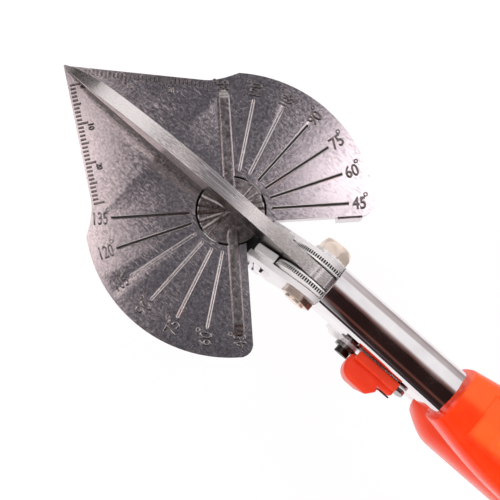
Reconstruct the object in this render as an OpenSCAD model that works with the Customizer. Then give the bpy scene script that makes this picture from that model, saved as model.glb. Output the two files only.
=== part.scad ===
// Mitre shears: a blade that closes on an angle plate with a turning fence, on two crossing handles
// Millimetres. Origin on the flat underside of the jaw, below the turntable centre.
// +X runs forward to the blade tip, +Y to the left of the user, +Z up. Drawn closed.

/* [Angle plate] */
// Radius of the two fans
plate_r = 34.5; // [32:0.5:37]
// Distance from the turntable centre to the plate tip
plate_tip = 54.3; // [51:0.1:58]
// Angle between the two ruler edges at the tip
tip_angle = 71.5; // [66:0.5:74]
// Length of a ruler edge from the tip to its shoulder
ruler_l = 37.5; // [35:0.5:39]
// Polar angle of the shoulder on the fan, from the blade line
shoulder_a = 52; // [50:0.5:55]
// Length of the curve at the end of a ruler edge
shoulder_ease = 3; // [2:0.5:5]
// Plate thickness
plate_t = 3; // [2.4:0.1:4]
// Set-back of the rear edges behind the 45 degree lines
notch_set = 3.1; // [2.6:0.1:3.8]
// Radius of the outer rear corners
plate_round = 3; // [1:0.5:4]
// Width of an engraved angle line
line_w = 0.8; // [0.5:0.1:1.2]
// Depth of an engraved angle line
line_d = 0.4; // [0.2:0.1:0.8]
// Inner end of the angle lines
line_r0 = 9.8; // [9.4:0.1:11]
// Outer end of the angle lines
line_r1 = 28.3; // [26:0.1:29]
// Step between two angle lines, in degrees
line_step = 15; // [15:15:30]
// Length of the lug under the rear edge of the right fan
lug_l = 6; // [4:0.5:8]
// Width of the lug
lug_w = 2.4; // [2:0.1:3]
// Distance of the lug from the turntable centre
lug_r = 28.6; // [26:0.1:29.5]
// How far the lug stands out behind the rear edge
lug_proud = 0.6; // [0.2:0.1:1]

/* [Turntable and fence] */
// Radius of the turntable
table_r = 8.1; // [7.5:0.1:8.6]
// Radial gap between the turntable and the plate
table_gap = 0.4; // [0.3:0.05:0.6]
// Width of a fence arm at its foot
fence_w = 2.6; // [2:0.1:3.2]
// Width of a fence arm at its crest
fence_crest = 1.7; // [1.2:0.1:2]
// Height of the fence above the plate
fence_h = 2.3; // [1.8:0.1:3]
// Inner end of a fence arm
fence_r0 = 4.4; // [4:0.1:5]
// Outer end of a fence arm
fence_r1 = 29.7; // [26:0.1:31]
// Length of the slope at the outer end of a fence arm
fence_slope = 1.6; // [0.5:0.1:3]
// Running gap under the fence and the turntable
fence_gap = 0.15; // [0.1:0.05:0.3]
// Width of a blade groove in the turntable
groove_w = 1; // [0.6:0.1:1.4]
// Depth of a blade groove in the turntable
groove_d = 0.5; // [0.3:0.1:0.8]
// Radius of the turntable spindle
spindle_r = 3; // [2.5:0.1:3.5]
// Length of the turntable spindle
spindle_l = 13; // [11:0.5:14]
// Depth of the ring groove in the spindle
ring_d = 1.1; // [0.8:0.1:1.3]
// Radius of a pin that holds the spindle
hold_r = 1; // [0.8:0.1:1.2]
// Outer radius of the cone spring under the turntable
cone_r = 5.8; // [5:0.1:6.5]
// Thickness of the cone spring
cone_t = 0.5; // [0.3:0.1:0.7]
// Height of the cone spring
cone_h = 1; // [0.8:0.1:1.2]

/* [Jaw] */
// Depth of the jaw under the plate
jaw_depth = 21; // [19:0.5:24]
// Width of the jaw
jaw_w = 16; // [14:0.5:18]
// Front end of the jaw
jaw_front = 44; // [40:1:46]
// Width of the jaw at its front end
jaw_tip_w = 7; // [5:0.5:8]
// Where the jaw starts to narrow towards its front end
jaw_narrow = 20; // [16:1:24]
// Where the underside starts to rise to the nose
nose_x = 24; // [20:1:30]
// Thickness of the nose at its front end
nose_t = 6; // [4:0.5:9]
// Length of the tongue between the cheeks
tongue_l = 9.5; // [8.5:0.5:10]
// Height of the tongue's underside above the underside of the jaw
tongue_low = 3; // [2:0.5:4]
// Height of the cheeks' lower edge above the underside of the jaw
cheek_low = 4; // [3:0.5:6]
// Length of the cheeks' lower edge
cheek_l = 7.5; // [6.5:0.5:8.5]
// Height of the cheeks above the pivot
cheek_crown = 5.8; // [5:0.1:6.5]
// Bevel at the cheeks' upper front corner
cheek_nose = 2; // [1:0.5:3]
// Radius of the plate screws
plate_screw_r = 1.5; // [1.2:0.1:1.8]
// Radius of the plate screw heads
plate_head_r = 2.6; // [2.2:0.1:2.8]
// Height of the plate screw heads
plate_head_h = 2; // [1.5:0.1:2.5]
// Place of the plate screws along the blade line
plate_screw_x = 17; // [15:0.5:19]
// Spacing of the plate screws across the blade line
plate_screw_gap = 8; // [7:0.5:8.5]
// Depth of the thread in the plate
plate_thread = 2; // [1.5:0.1:2.2]
// Radius of the jaw rivets
jaw_rivet_r = 1.8; // [1.4:0.1:2]

/* [Pivot] */
// Distance of the pivot behind the turntable centre
pivot_back = 24.9; // [24.5:0.1:25.5]
// Height of the pivot above the plate
pivot_up = 5.3; // [5:0.1:5.5]
// Radius of the pivot bolt
bolt_r = 2.5; // [2.2:0.1:2.7]
// Width of the bolt head and the nut across flats
bolt_af = 7; // [6.6:0.1:8]
// Height of the bolt head
bolt_head = 3; // [2.5:0.1:4]
// Turn of the bolt head and the nut, in degrees
hex_turn = 18; // [0:1:30]
// Height of the nut
nut_t = 1.7; // [1.4:0.1:2.5]
// Thickness of the washer under the bolt head
washer_t = 1; // [0.6:0.1:1.2]
// Radius of the washer
washer_r = 4.3; // [4.1:0.1:5]
// Wall of the bush on the bolt
bush_wall = 1.1; // [0.8:0.1:1.4]
// Outer radius of the knurled discs
knurl_r = 8.7; // [8:0.1:8.8]
// Thickness of a knurled disc
disc_t = 1.5; // [1.2:0.1:1.7]
// Depth of the knurl
knurl_d = 0.45; // [0.2:0.05:0.6]
// Number of teeth of the knurl
knurl_n = 78; // [60:2:90]

/* [Blade] */
// Thickness of the blade
blade_t = 3.2; // [2.8:0.1:3.6]
// Height of the blade above the plate near its middle
blade_h = 16.2; // [15:0.1:17]
// Distance of the blade tip behind the plate tip
tip_set = 0.6; // [0.4:0.1:1]
// Distance behind the tip at which the spine's front curve aims
spine_lead = 17.5; // [14:0.5:20]
// Distance ahead of the turntable centre at which the spine's rear curve aims
spine_crest = 4; // [2:0.5:8]
// Height of the blade at its tip
tip_h = 0.8; // [0.6:0.1:1.2]
// Thickness of the blade at its tip
tip_t = 1.1; // [0.8:0.1:1.4]
// Length over which the blade narrows to its tip
tip_l = 13.5; // [10:0.5:16]
// Height of the ground bevels
bevel_h = 7; // [5:0.5:9]
// Thickness left at the cutting edge
edge_t = 0.16; // [0.1:0.02:0.3]
// Gap between the closed edge and the plate
edge_gap = 0.2; // [0.15:0.05:0.3]
// Radius of the blade around the pivot
boss_r = 8; // [7.4:0.1:8.2]
// Length of the tang inside the lower arm
tang_l = 19; // [18:0.5:20]

/* [Arms] */
// Sheet thickness of the arms
wall_t = 1.4; // [1.2:0.1:1.6]
// Gap between a knurled disc and a cheek
side_gap = 0.6; // [0.4:0.05:0.7]
// Distance of the roof edge behind the pivot
roof_back = 3.6; // [3.6:0.1:5]
// Height of the roof above the plate
roof_up = 15; // [15:0.1:16]
// Width of the upper arm at the grip
upper_w = 10.8; // [10.4:0.1:12]
// Height of the upper arm at the roof edge
upper_h = 14; // [13:0.5:15]
// Fall of the roof between its edge and the grip
roof_drop = 3.5; // [0:0.1:4]
// Radius of the arms' rounded edges
arm_round = 3.4; // [2.5:0.1:4]
// Gap between the closed arms
arm_gap = 3.5; // [3:0.1:4]
// Height of the lower arm
lower_h = 15; // [14:0.5:16]
// Distance of the lower arm's front end behind the pivot
lower_back = 11.5; // [11:0.5:12.5]
// Rear end of both arms
arm_end = 172; // [160:1:176]
// Radius of the tang rivets
tang_rivet_r = 1.8; // [1.4:0.1:2]
// Height of a rivet head
rivet_head = 0.9; // [0.6:0.1:1]
// Thickness of a rivet head's edge beyond its shank
rivet_lip = 1.1; // [0.8:0.1:1.4]

/* [Grips] */
// Front end of the upper grip
grip_front = 64; // [63:0.5:68]
// Front end of the lower grip
guard_front = 61; // [60.5:0.5:63]
// Rear end of both grips
grip_end = 190; // [184:1:200]
// Width of the upper grip at its front end
grip_w = 14.2; // [13.2:0.1:15]
// Width of the grips at the hand
hand_w = 20.5; // [18:0.5:22]
// Length over which the upper grip widens to the hand
swell_l = 24; // [18:1:30]
// Width of the lower grip at its front end
guard_w = 12.6; // [12:0.1:14]
// Length over which the lower grip widens to the hand
guard_swell = 9; // [7:0.5:12]
// How far the lower grip's front leans back at its bottom
guard_lean = 8; // [4:0.5:10]
// Thickness of the upper grip over the roof
grip_skin = 1.9; // [1.6:0.1:3]
// Gap between the closed grips
grip_gap = 1.6; // [1.2:0.1:2.4]
// Length of the rounded lip at a grip's front end
lip_l = 5.5; // [4:0.5:7]
// Rise of the upper grip's back at the palm
palm_rise = 1.8; // [0:0.1:3]
// Depth of the finger hollow under the lower grip
finger_hollow = 3; // [1:0.1:3.6]
// Length of the rounded rear ends
end_round = 9; // [6:0.5:14]
// Clearance of a grip on its arm
grip_fit = 0.05; // [0.02:0.01:0.1]

/* [Latch] */
// Distance of the latch screw behind the turntable centre
latch_back = 42.3; // [41:0.1:43]
// Height of the latch screw under the top edge of the lower arm
latch_down = 4; // [3.8:0.1:5]
// Radius of the latch screw
latch_screw_r = 1.3; // [1.1:0.1:1.4]
// Radius of the latch screw's head
latch_head_r = 1.8; // [1.6:0.1:2.2]
// Height of the latch screw's head
latch_head_h = 1.4; // [1:0.1:2]
// Width of the boss around the latch screw
latch_boss = 0.7; // [0.5:0.1:0.9]
// Thickness of the hook plate
hook_t = 1; // [0.8:0.1:1.4]
// Gap beside the hook plate
latch_gap = 0.25; // [0.2:0.05:0.4]
// Radius of the catch pin
catch_r = 1.4; // [1.2:0.1:1.6]
// Distance of the catch pin behind the latch screw
catch_back = 8.7; // [8.2:0.1:9.2]
// Height of the catch pin above the latch screw
catch_up = 10; // [9.6:0.1:10.6]
// Clearance of the catch pin in the hook
catch_gap = 0.25; // [0.2:0.05:0.4]
// Width of the hook's finger
finger_w = 2.2; // [1.8:0.1:2.6]
// Turn of the latch between released and hooked, in degrees
latch_turn = 24; // [20:1:26]
// Length of the thumb lever
lever_l = 11; // [10.5:0.5:11.5]
// Width of the thumb lever
lever_w = 5.6; // [4.8:0.1:6.5]
// Height of the thumb lever
lever_h = 13; // [12.5:0.5:14]
// Height of the thumb lever's top above the latch screw
lever_up = 10.5; // [10:0.1:11]
// Bevel of the thumb lever's corners
lever_bevel = 1.5; // [1:0.1:1.8]
// Width of the lever's leg along the arm
leg_w = 2.4; // [2:0.1:3]
// Length of the lever's thumb tab
tab_l = 6.2; // [5.5:0.1:6.8]
// Length of the lever's shield over the hook plate
shield_l = 3.2; // [2.5:0.1:3.4]
// Height of the lever's shield
shield_h = 5; // [4:0.1:5.5]
// Thickness of the steel leaf behind the tab
leaf_t = 0.4; // [0.3:0.1:0.6]
// Height of the steel leaf
leaf_h = 6; // [5:0.1:7]
// Radius of the latch rivets
latch_rivet_r = 0.8; // [0.6:0.1:1]

/* [Return spring] */
// Distance of the spring behind the turntable centre
spring_back = 58; // [57.5:0.1:58.5]
// Mean radius of the coil
coil_r = 1.95; // [1.8:0.05:2.1]
// Thickness of the wire
wire_d = 0.8; // [0.6:0.1:1]
// Number of turns
coil_n = 10; // [8:1:11]

/* [Hidden] */
$fn = 64;

// Clearances
fixed_fit = 0.02;
run_fit = 0.05;
seat_gap = 0.1;
disc_clear = 0.4;
eps = 0.01;
past = 1;

// Heights
top_z = jaw_depth + plate_t;
pivot_x = -pivot_back;
pivot_z = top_z + pivot_up;
edge_z = top_z + edge_gap;
roof_z = top_z + roof_up;
roof_x = pivot_x - roof_back;
upper_bot = roof_z - upper_h;
rear_roof = roof_z - roof_drop;
rear_h = upper_h - roof_drop;
lower_top = upper_bot - arm_gap;
lower_bot = lower_top - lower_h;
grip_mid = (upper_bot + lower_top) / 2;

// Widths
half_blade = blade_t / 2;
pack_out = half_blade + disc_t;
cheek_in = pack_out + side_gap;
cheek_out = cheek_in + wall_t;
upper_half = upper_w / 2;
lower_half = pack_out + wall_t;

// Cheeks and jaw
cheek_front = -(table_r + table_gap + past);
cheek_rear = cheek_front - cheek_l;
jaw_rivet_spots = [[cheek_front - 1.6 * jaw_rivet_r, cheek_low + 2.2 * jaw_rivet_r],
    [cheek_front - 2.8 * jaw_rivet_r, jaw_depth - 2.8 * jaw_rivet_r]];
spindle_z = jaw_depth - spindle_l;
ring_z = jaw_depth - 0.6 * spindle_l;
ring_h = 2 * (hold_r + seat_gap);
hold_x = spindle_r - ring_d + hold_r + run_fit;
bush_r = bolt_r + run_fit + bush_wall;

// Lower arm and tang
lower_front = pivot_x - lower_back;
tang_end = lower_front - tang_l;
tang_low = lower_bot + wall_t + seat_gap;
tang_high = lower_top - past;
pack_low = tang_low + arm_round - wall_t;
tang_rivet_z = pack_low + 1.4 * tang_rivet_r;
tang_rivets_x = [lower_front - 1.6 * tang_rivet_r, tang_end + 1.9 * tang_rivet_r];

// Latch
latch_x = -latch_back;
latch_z = lower_top - latch_down;
hook_y = max(upper_half, lower_half + rivet_head) + latch_gap;
catch_x = latch_x - catch_back;
catch_z = latch_z + catch_up;
catch_arm = norm([catch_back, catch_up]);
catch_a = atan2(catch_up, -catch_back);
hook_slot = catch_r + catch_gap;
hook_r = catch_arm + hook_slot + finger_w;
hook_a0 = catch_a - 5;
hook_a1 = catch_a + 9;
hook_a2 = catch_a + 30;
lever_y = hook_y + hook_t;
lever_out = lever_y + lever_w;
leg_out = lever_y + leg_w;
lever_front = latch_x - latch_head_r - latch_gap;
lever_rear = lever_front - lever_l;
lever_top = latch_z + lever_up;
rivet_end = lever_y + 0.8 * leg_w;
latch_rivet_a = (hook_a0 + hook_a2) / 2 + latch_turn;
latch_rivet_reaches = [latch_head_r + past + 3 * latch_rivet_r,
    catch_arm - hook_slot - 2.2 * latch_rivet_r];

// Return spring
spring_low = lower_bot + wall_t + eps;
spring_high = roof_at(-spring_back + coil_r - wire_d / 2) - wall_t - eps;
stud_r = coil_r - wire_d / 2 - 3 * seat_gap;
stud_l = 5 * wire_d;

// Colours
chrome = [0.82, 0.82, 0.84];
steel = [0.62, 0.62, 0.64];
casting = [0.55, 0.55, 0.56];
black = [0.12, 0.12, 0.13];
orange = [0.98, 0.33, 0.12];
red = [0.9, 0.25, 0.17];
brass = [0.78, 0.62, 0.3];

function smooth(t) = t <= 0 ? 0 : t >= 1 ? 1 : t * t * (3 - 2 * t);
function bezier2(a, b, c, t) = a * (1 - t) ^ 2 + b * 2 * t * (1 - t) + c * t ^ 2;
function bezier3(a, b, c, d, t) =
    a * (1 - t) ^ 3 + b * 3 * t * (1 - t) ^ 2 + c * 3 * t ^ 2 * (1 - t) + d * t ^ 3;
function flip_y(p) = [p[0], -p[1]];
function polar(r, a) = [r * cos(a), r * sin(a)];
function flare(x) = (roof_x - x) / (grip_front + roof_x);
function roof_at(x) = roof_z - roof_drop * min(1, flare(x));
function wall_out(x) = cheek_out + (upper_half - cheek_out) * min(1, flare(x));

// Plates and rods that lie across the tool
module plate_y(y0, y1) {
    translate([0, y1, 0]) rotate([90, 0, 0]) linear_extrude(y1 - y0) children();
}

module rod_y(x, z, y0, y1, r) {
    translate([x, y0, z]) rotate([-90, 0, 0]) cylinder(h = y1 - y0, r = r);
}

// A rivet through a stack of half width half, with a low cone head on each side
module rivet_y(x, z, half, r) {
    rod_y(x, z, -half - eps, half + eps, r);
    for (side = [-1, 1])
        translate([x, side * half, z]) rotate([-90 * side, 0, 0])
            cylinder(h = rivet_head, r1 = r + rivet_lip, r2 = r);
}

// Angle plate
module plate_outline() {
    edge = [plate_tip - ruler_l * cos(tip_angle / 2), ruler_l * sin(tip_angle / 2)];
    lead = edge + [cos(tip_angle / 2), -sin(tip_angle / 2)] * shoulder_ease;
    shoulder = polar(plate_r, shoulder_a);
    side = [for (i = [0 : 5]) bezier2(lead, edge, shoulder, i / 5)];
    other = [for (i = [5 : -1 : 0]) flip_y(side[i])];
    polygon(concat([[plate_tip, 0]], side, other));
    intersection() {
        circle(r = plate_r, $fn = 180);
        translate([-2 * plate_r, -2 * plate_r]) square([2 * plate_r + shoulder[0], 4 * plate_r]);
    }
}

module rear_corner_cut() {
    n = polar(1, 45);
    along = polar(1, 135);
    depth = plate_round - notch_set;
    reach = sqrt((plate_r - plate_round) ^ 2 - depth ^ 2);
    centre = n * depth + along * reach;
    ease = 10;
    a0 = 225 - ease;
    a1 = atan2(centre[1], centre[0]) + ease;
    arc = [for (i = [0 : 6]) centre + polar(plate_round, a0 + (a1 - a0) * i / 6)];
    polygon(concat([arc[0] - n * plate_round], arc,
        [arc[6] + along * plate_round, centre + (along - n) * 3 * plate_round]));
}

module rear_notch() {
    apex = notch_set * sqrt(2);
    reach = 2 * plate_r;
    polygon([[-apex, 0], [-apex - reach, reach], [-apex - reach, -reach]]);
}

module angle_lines() {
    for (side = [-1, 1], a = [45 : line_step : 135])
        rotate([0, 0, side * (180 - a)])
            translate([line_r0, -line_w / 2, top_z - line_d]) cube([line_r1 - line_r0, line_w, past]);
}

module angle_plate() {
    color(casting) {
        difference() {
            translate([0, 0, jaw_depth]) linear_extrude(plate_t) difference() {
                plate_outline();
                rear_notch();
                circle(r = table_r + table_gap);
                rear_corner_cut();
                mirror([0, 1]) rear_corner_cut();
            }
            angle_lines();
            plate_screw_places() cylinder(h = plate_thread, r = plate_screw_r + fixed_fit);
        }
        rotate([0, 0, -135]) translate([lug_r - lug_l / 2, -notch_set - lug_proud, jaw_depth - lug_w])
            cube([lug_l, lug_w, lug_w + plate_t / 2]);
    }
}

module plate_screw_places() {
    for (side = [-1, 1])
        translate([plate_screw_x, side * plate_screw_gap / 2, jaw_depth]) children();
}

module plate_screws() {
    shank = jaw_depth / 2;
    color(steel) plate_screw_places() {
        translate([0, 0, -shank]) cylinder(h = shank + plate_thread - seat_gap, r = plate_screw_r);
        difference() {
            translate([0, 0, -shank - plate_head_h]) cylinder(h = plate_head_h, r = plate_head_r);
            translate([0, 0, -shank - plate_head_h - eps])
                cylinder(h = plate_head_h / 2, r = plate_screw_r, $fn = 6);
        }
    }
}

// Jaw
module jaw_body() {
    half = jaw_w / 2;
    tip = jaw_tip_w / 2;
    intersection() {
        linear_extrude(jaw_depth)
            polygon([[cheek_front + seat_gap, -half], [jaw_narrow, -half], [jaw_front, -tip],
                [jaw_front, tip], [jaw_narrow, half], [cheek_front + seat_gap, half]]);
        plate_y(-half, half)
            polygon([[cheek_front, 0], [nose_x, 0], [jaw_front, jaw_depth - nose_t],
                [jaw_front, jaw_depth], [cheek_front, jaw_depth]]);
    }
}

module jaw_block() {
    color(black) difference() {
        union() {
            jaw_body();
            translate([cheek_front - tongue_l, -cheek_in + seat_gap / 2, tongue_low])
                cube([tongue_l + past, 2 * cheek_in - seat_gap, jaw_depth - tongue_low]);
        }
        translate([0, 0, spindle_z - seat_gap]) cylinder(h = jaw_depth, r = spindle_r + run_fit);
        translate([0, 0, jaw_depth - cone_h - seat_gap]) cylinder(h = jaw_depth, r = cone_r + seat_gap);
        for (side = [-1, 1])
            rod_y(side * hold_x, ring_z, -jaw_w, jaw_w, hold_r + fixed_fit);
        plate_screw_places() {
            translate([0, 0, -jaw_depth]) cylinder(h = 2 * jaw_depth, r = plate_screw_r + fixed_fit);
            translate([0, 0, -1.5 * jaw_depth]) cylinder(h = jaw_depth, r = plate_head_r + seat_gap);
        }
        jaw_rivet_places() rod_y(0, 0, -jaw_w, jaw_w, jaw_rivet_r + fixed_fit);
    }
}

module jaw_rivet_places() {
    for (spot = jaw_rivet_spots)
        translate([spot[0], 0, spot[1]]) children();
}

module jaw_rivets() {
    color(steel) jaw_rivet_places() rivet_y(0, 0, cheek_out, jaw_rivet_r);
}

// Turntable and fence
module fence_arm() {
    length = fence_r1 - fence_r0;
    low = top_z + fence_gap;
    intersection() {
        translate([fence_r0, 0, low]) rotate([90, 0, 90]) linear_extrude(length)
            polygon([[-fence_w / 2, 0], [fence_w / 2, 0], [fence_crest / 2, fence_h],
                [-fence_crest / 2, fence_h]]);
        plate_y(-fence_w, fence_w)
            polygon([[fence_r0, low], [fence_r1, low], [fence_r1 - fence_slope, low + fence_h],
                [fence_r0 + fence_slope / 2, low + fence_h]]);
    }
    translate([fence_r0, -fence_w / 2, top_z - plate_t / 2])
        cube([table_r - fence_r0 - past / 2, fence_w, plate_t / 2 + fence_gap + eps]);
}

module blade_grooves() {
    for (a = [0 : line_step : 90])
        rotate([0, 0, a]) translate([-table_r - past, 0, top_z]) rotate([90, 0, 90])
            linear_extrude(2 * (table_r + past))
                polygon([[-groove_w / 2, eps], [0, -groove_d], [groove_w / 2, eps]]);
}

module angle_fence() {
    color(casting) {
        difference() {
            union() {
                translate([0, 0, jaw_depth + fence_gap])
                    cylinder(h = plate_t - fence_gap, r = table_r);
                translate([0, 0, spindle_z]) cylinder(h = spindle_l + plate_t / 2, r = spindle_r);
            }
            blade_grooves();
            translate([0, 0, ring_z - ring_h / 2]) difference() {
                cylinder(h = ring_h, r = spindle_r + past);
                translate([0, 0, -eps]) cylinder(h = ring_h + 2 * eps, r = spindle_r - ring_d);
            }
        }
        rotate([0, 0, 135]) fence_arm();
        rotate([0, 0, -45]) fence_arm();
    }
}

module fence_hold_pins() {
    color(steel) for (side = [-1, 1])
        rod_y(side * hold_x, ring_z, -jaw_w / 2, jaw_w / 2, hold_r);
}

module fence_cone_spring() {
    inner = spindle_r + seat_gap;
    low = jaw_depth - cone_h;
    color(steel) translate([0, 0, low]) rotate_extrude()
        polygon([[inner, cone_h - cone_t], [cone_r, 0], [cone_r, cone_t], [inner, cone_h]]);
}

// Upper arm: an inverted channel whose walls run on forward as two cheeks
module arm_section(half, height, round) {
    translate([-half, -height]) square([2 * half, height - round]);
    translate([-half + round, -height]) square([2 * (half - round), height]);
    for (side = [-1, 1])
        translate([side * (half - round), -round]) circle(r = round);
}

module section_x(x0, x1, z) {
    translate([x0, 0, z]) rotate([90, 0, 90]) linear_extrude(x1 - x0) children();
}

module upper_form(inset, over) {
    round = arm_round - inset;
    hull() {
        section_x(roof_x - eps, roof_x + over, roof_z - inset)
            arm_section(cheek_out - inset, upper_h + over, round, $fn = 32);
        section_x(-grip_front, -grip_front + eps, rear_roof - inset)
            arm_section(upper_half - inset, rear_h + over, round, $fn = 32);
    }
    section_x(-arm_end - over, -grip_front, rear_roof - inset)
        arm_section(upper_half - inset, rear_h + over, round);
}

module cheek_outline() {
    polygon([[roof_x, upper_bot], [roof_x, roof_z - arm_round], [pivot_x, pivot_z + cheek_crown],
        [cheek_front - cheek_nose, top_z + cheek_nose], [cheek_front, edge_z],
        [cheek_front, cheek_low], [cheek_rear, cheek_low]]);
}

module upper_arm() {
    color(chrome) difference() {
        union() {
            difference() {
                upper_form(0, 0);
                upper_form(wall_t, past);
            }
            plate_y(cheek_in, cheek_out) cheek_outline();
            plate_y(-cheek_out, -cheek_in) cheek_outline();
        }
        rod_y(pivot_x, pivot_z, -upper_w, upper_w, bolt_r + fixed_fit);
        rod_y(pivot_x, pivot_z, -cheek_in, cheek_in, knurl_r + disc_clear);
        jaw_rivet_places() rod_y(0, 0, -upper_w, upper_w, jaw_rivet_r + fixed_fit);
        rod_y(catch_x, catch_z, 0, upper_w, catch_r + fixed_fit);
    }
}

module catch_pin() {
    color(steel) rod_y(catch_x, catch_z, wall_out(catch_x) - wall_t, lever_y - latch_gap, catch_r);
}

// Grips: superellipse rings swept along the arms
function ring_wave(t, p) = sign(t) * abs(t) ^ p;
function grip_ring(x, half, low, high, lean) = [for (i = [0 : 23])
    let (a = 15 * i,
        rise = ring_wave(sin(a), 0.62))
    [x - lean * (1 - rise) / 2, half * ring_wave(cos(a), 0.62), (low + high) / 2 + (high - low) / 2 * rise]];
function end_scale(x) = let (t = max(0, (x - grip_end + end_round) / end_round)) sqrt(max(0.05, 1 - t ^ 2));
waist = 0.35;
waist_start = 0.4;
function grip_share(x, front) = (x - front) / (grip_end - front);
function swell(d, length) = sin(90 * min(1, d / length));
function waist_at(u) = waist * sin(180 * smooth((u - waist_start) / (1 - waist_start)));
function half_at(x, front, front_w, length) = front_w / 2
    + (hand_w - front_w) / 2 * (swell(x - front, length) - waist_at(grip_share(x, front)));
function upper_high_at(x) = rear_roof + grip_skin + palm_rise * sin(180 * smooth(grip_share(x, grip_front)));
function lower_low_at(x) = finger_hollow * sin(180 * smooth((grip_share(x, guard_front) - 0.07) / 0.86));
function lean_at(x) = guard_lean * (1 - smooth((x - guard_front) / (grip_end - end_round - guard_front)));

module sweep_rings(rings) {
    m = len(rings);
    n = len(rings[0]);
    points = [for (ring = rings) each ring];
    walls = [for (j = [0 : m - 2], i = [0 : n - 1]) let (k = (i + 1) % n)
        each [[j * n + i, j * n + k, (j + 1) * n + k], [j * n + i, (j + 1) * n + k, (j + 1) * n + i]]];
    first = [[for (i = [n - 1 : -1 : 0]) i]];
    last = [[for (i = [0 : n - 1]) (m - 1) * n + i]];
    polyhedron(points = points, faces = concat(walls, first, last), convexity = 4);
}

function grip_stations(front) = concat([for (u = [0, 0.09, 0.22, 0.55, 1]) front + u * lip_l],
    [for (i = [1 : 14]) front + (grip_end - end_round - front) * i / 14],
    [for (a = [25, 45, 62, 76, 90]) grip_end - end_round + end_round * sin(a)]);
function front_scale(x, front) = let (u = (x - front) / lip_l) u < 0.05 ? 0.93 : u < 0.18 ? 0.98 : 1;

module upper_grip() {
    low = grip_mid + grip_gap / 2;
    rings = [for (x = grip_stations(grip_front))
        let (s = end_scale(x) * front_scale(x, grip_front),
            high = upper_high_at(x),
            mid = (low + high) / 2)
        grip_ring(-x, half_at(x, grip_front, grip_w, swell_l) * s,
            mid - (mid - low) * s, mid + (high - mid) * s, 0)];
    color(orange) difference() {
        sweep_rings(rings);
        section_x(-arm_end - grip_fit, -grip_front + past, rear_roof + grip_fit)
            arm_section(upper_half + grip_fit, rear_h + 2 * grip_fit, arm_round);
    }
}

module lower_grip() {
    high = grip_mid - grip_gap / 2;
    rings = [for (x = grip_stations(guard_front))
        let (s = end_scale(x) * front_scale(x, guard_front),
            low = lower_low_at(x),
            mid = (low + high) / 2)
        grip_ring(-x, half_at(x, guard_front, guard_w, guard_swell) * s,
            mid - (mid - low) * s, mid + (high - mid) * s, lean_at(x))];
    color(red) difference() {
        sweep_rings(rings);
        translate([0, 0, lower_top + lower_bot]) mirror([0, 0, 1])
            section_x(-arm_end - grip_fit, -guard_front + past, lower_top + grip_fit)
                arm_section(lower_half + grip_fit, lower_h + 2 * grip_fit, arm_round);
    }
}

// Lower arm: a channel open at the top, with a boss for the latch screw
module lower_arm() {
    color(chrome) difference() {
        union() {
            translate([0, 0, lower_top + lower_bot]) mirror([0, 0, 1])
                section_x(-arm_end, lower_front, lower_top) arm_section(lower_half, lower_h, arm_round);
            rod_y(latch_x, latch_z, pack_out + wall_t / 2, hook_y - seat_gap, latch_head_r + latch_boss);
        }
        translate([0, 0, lower_top + lower_bot]) mirror([0, 0, 1])
            section_x(-arm_end - past, lower_front + past, lower_top - wall_t)
                arm_section(pack_out, lower_h, arm_round - wall_t);
        rod_y(latch_x, latch_z, 0, hook_y, latch_screw_r + fixed_fit);
        tang_rivet_places() rod_y(0, 0, -upper_w, upper_w, tang_rivet_r + fixed_fit);
    }
}

module tang_rivet_places() {
    for (x = tang_rivets_x)
        translate([x, 0, tang_rivet_z]) children();
}

module tang_rivets() {
    color(steel) tang_rivet_places() rivet_y(0, 0, lower_half, tang_rivet_r);
}

module tang_packing() {
    color(black) difference() {
        for (y = [-pack_out, half_blade])
            plate_y(y, y + disc_t)
                polygon([[lower_front - past, pack_low], [lower_front - past, tang_high],
                    [tang_end, tang_high], [tang_end, pack_low]]);
        tang_rivet_places() rod_y(0, 0, -upper_w, upper_w, tang_rivet_r + fixed_fit);
    }
}

// Blade
module blade_profile() {
    tip_x = plate_tip - tip_set;
    spine_start = [tip_x, edge_z + tip_h];
    spine_end = [pivot_x, pivot_z + 0.94 * boss_r];
    lead = [tip_x - spine_lead, edge_z + 0.95 * blade_h];
    crest = [spine_crest, edge_z + 1.28 * blade_h];
    spine = [for (i = [0 : 14]) bezier3(spine_start, lead, crest, spine_end, i / 14)];
    polygon(concat([[cheek_front, edge_z], [tip_x, edge_z]], spine,
        [[roof_x - boss_r / 4, pivot_z + 0.6 * boss_r], [lower_front - boss_r / 2, tang_high],
            [tang_end, tang_high], [tang_end, tang_low], [lower_front - past, tang_low],
            [pivot_x - 0.65 * boss_r, pivot_z - 0.72 * boss_r],
            [pivot_x + 0.65 * boss_r, pivot_z - 0.65 * boss_r]]));
    translate([pivot_x, pivot_z]) circle(r = boss_r);
}

module blade() {
    reach = plate_tip + past;
    color(steel) difference() {
        plate_y(-half_blade, half_blade) blade_profile();
        for (side = [0, 1]) mirror([0, side, 0]) {
            translate([cheek_front, 0, edge_z]) rotate([90, 0, 90]) linear_extrude(reach - cheek_front)
                polygon([[edge_t / 2, -past], [edge_t / 2, 0], [half_blade + eps, bevel_h],
                    [half_blade + past, bevel_h], [half_blade + past, -past]]);
            translate([0, 0, edge_z - past]) linear_extrude(blade_h + 2 * past)
                polygon([[plate_tip - tip_l, half_blade], [reach, tip_t / 2], [reach, half_blade + past],
                    [plate_tip - tip_l, half_blade + past]]);
        }
        rod_y(pivot_x, pivot_z, -upper_w, upper_w, bush_r + fixed_fit);
        tang_rivet_places() rod_y(0, 0, -upper_w, upper_w, tang_rivet_r + fixed_fit);
    }
}

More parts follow.
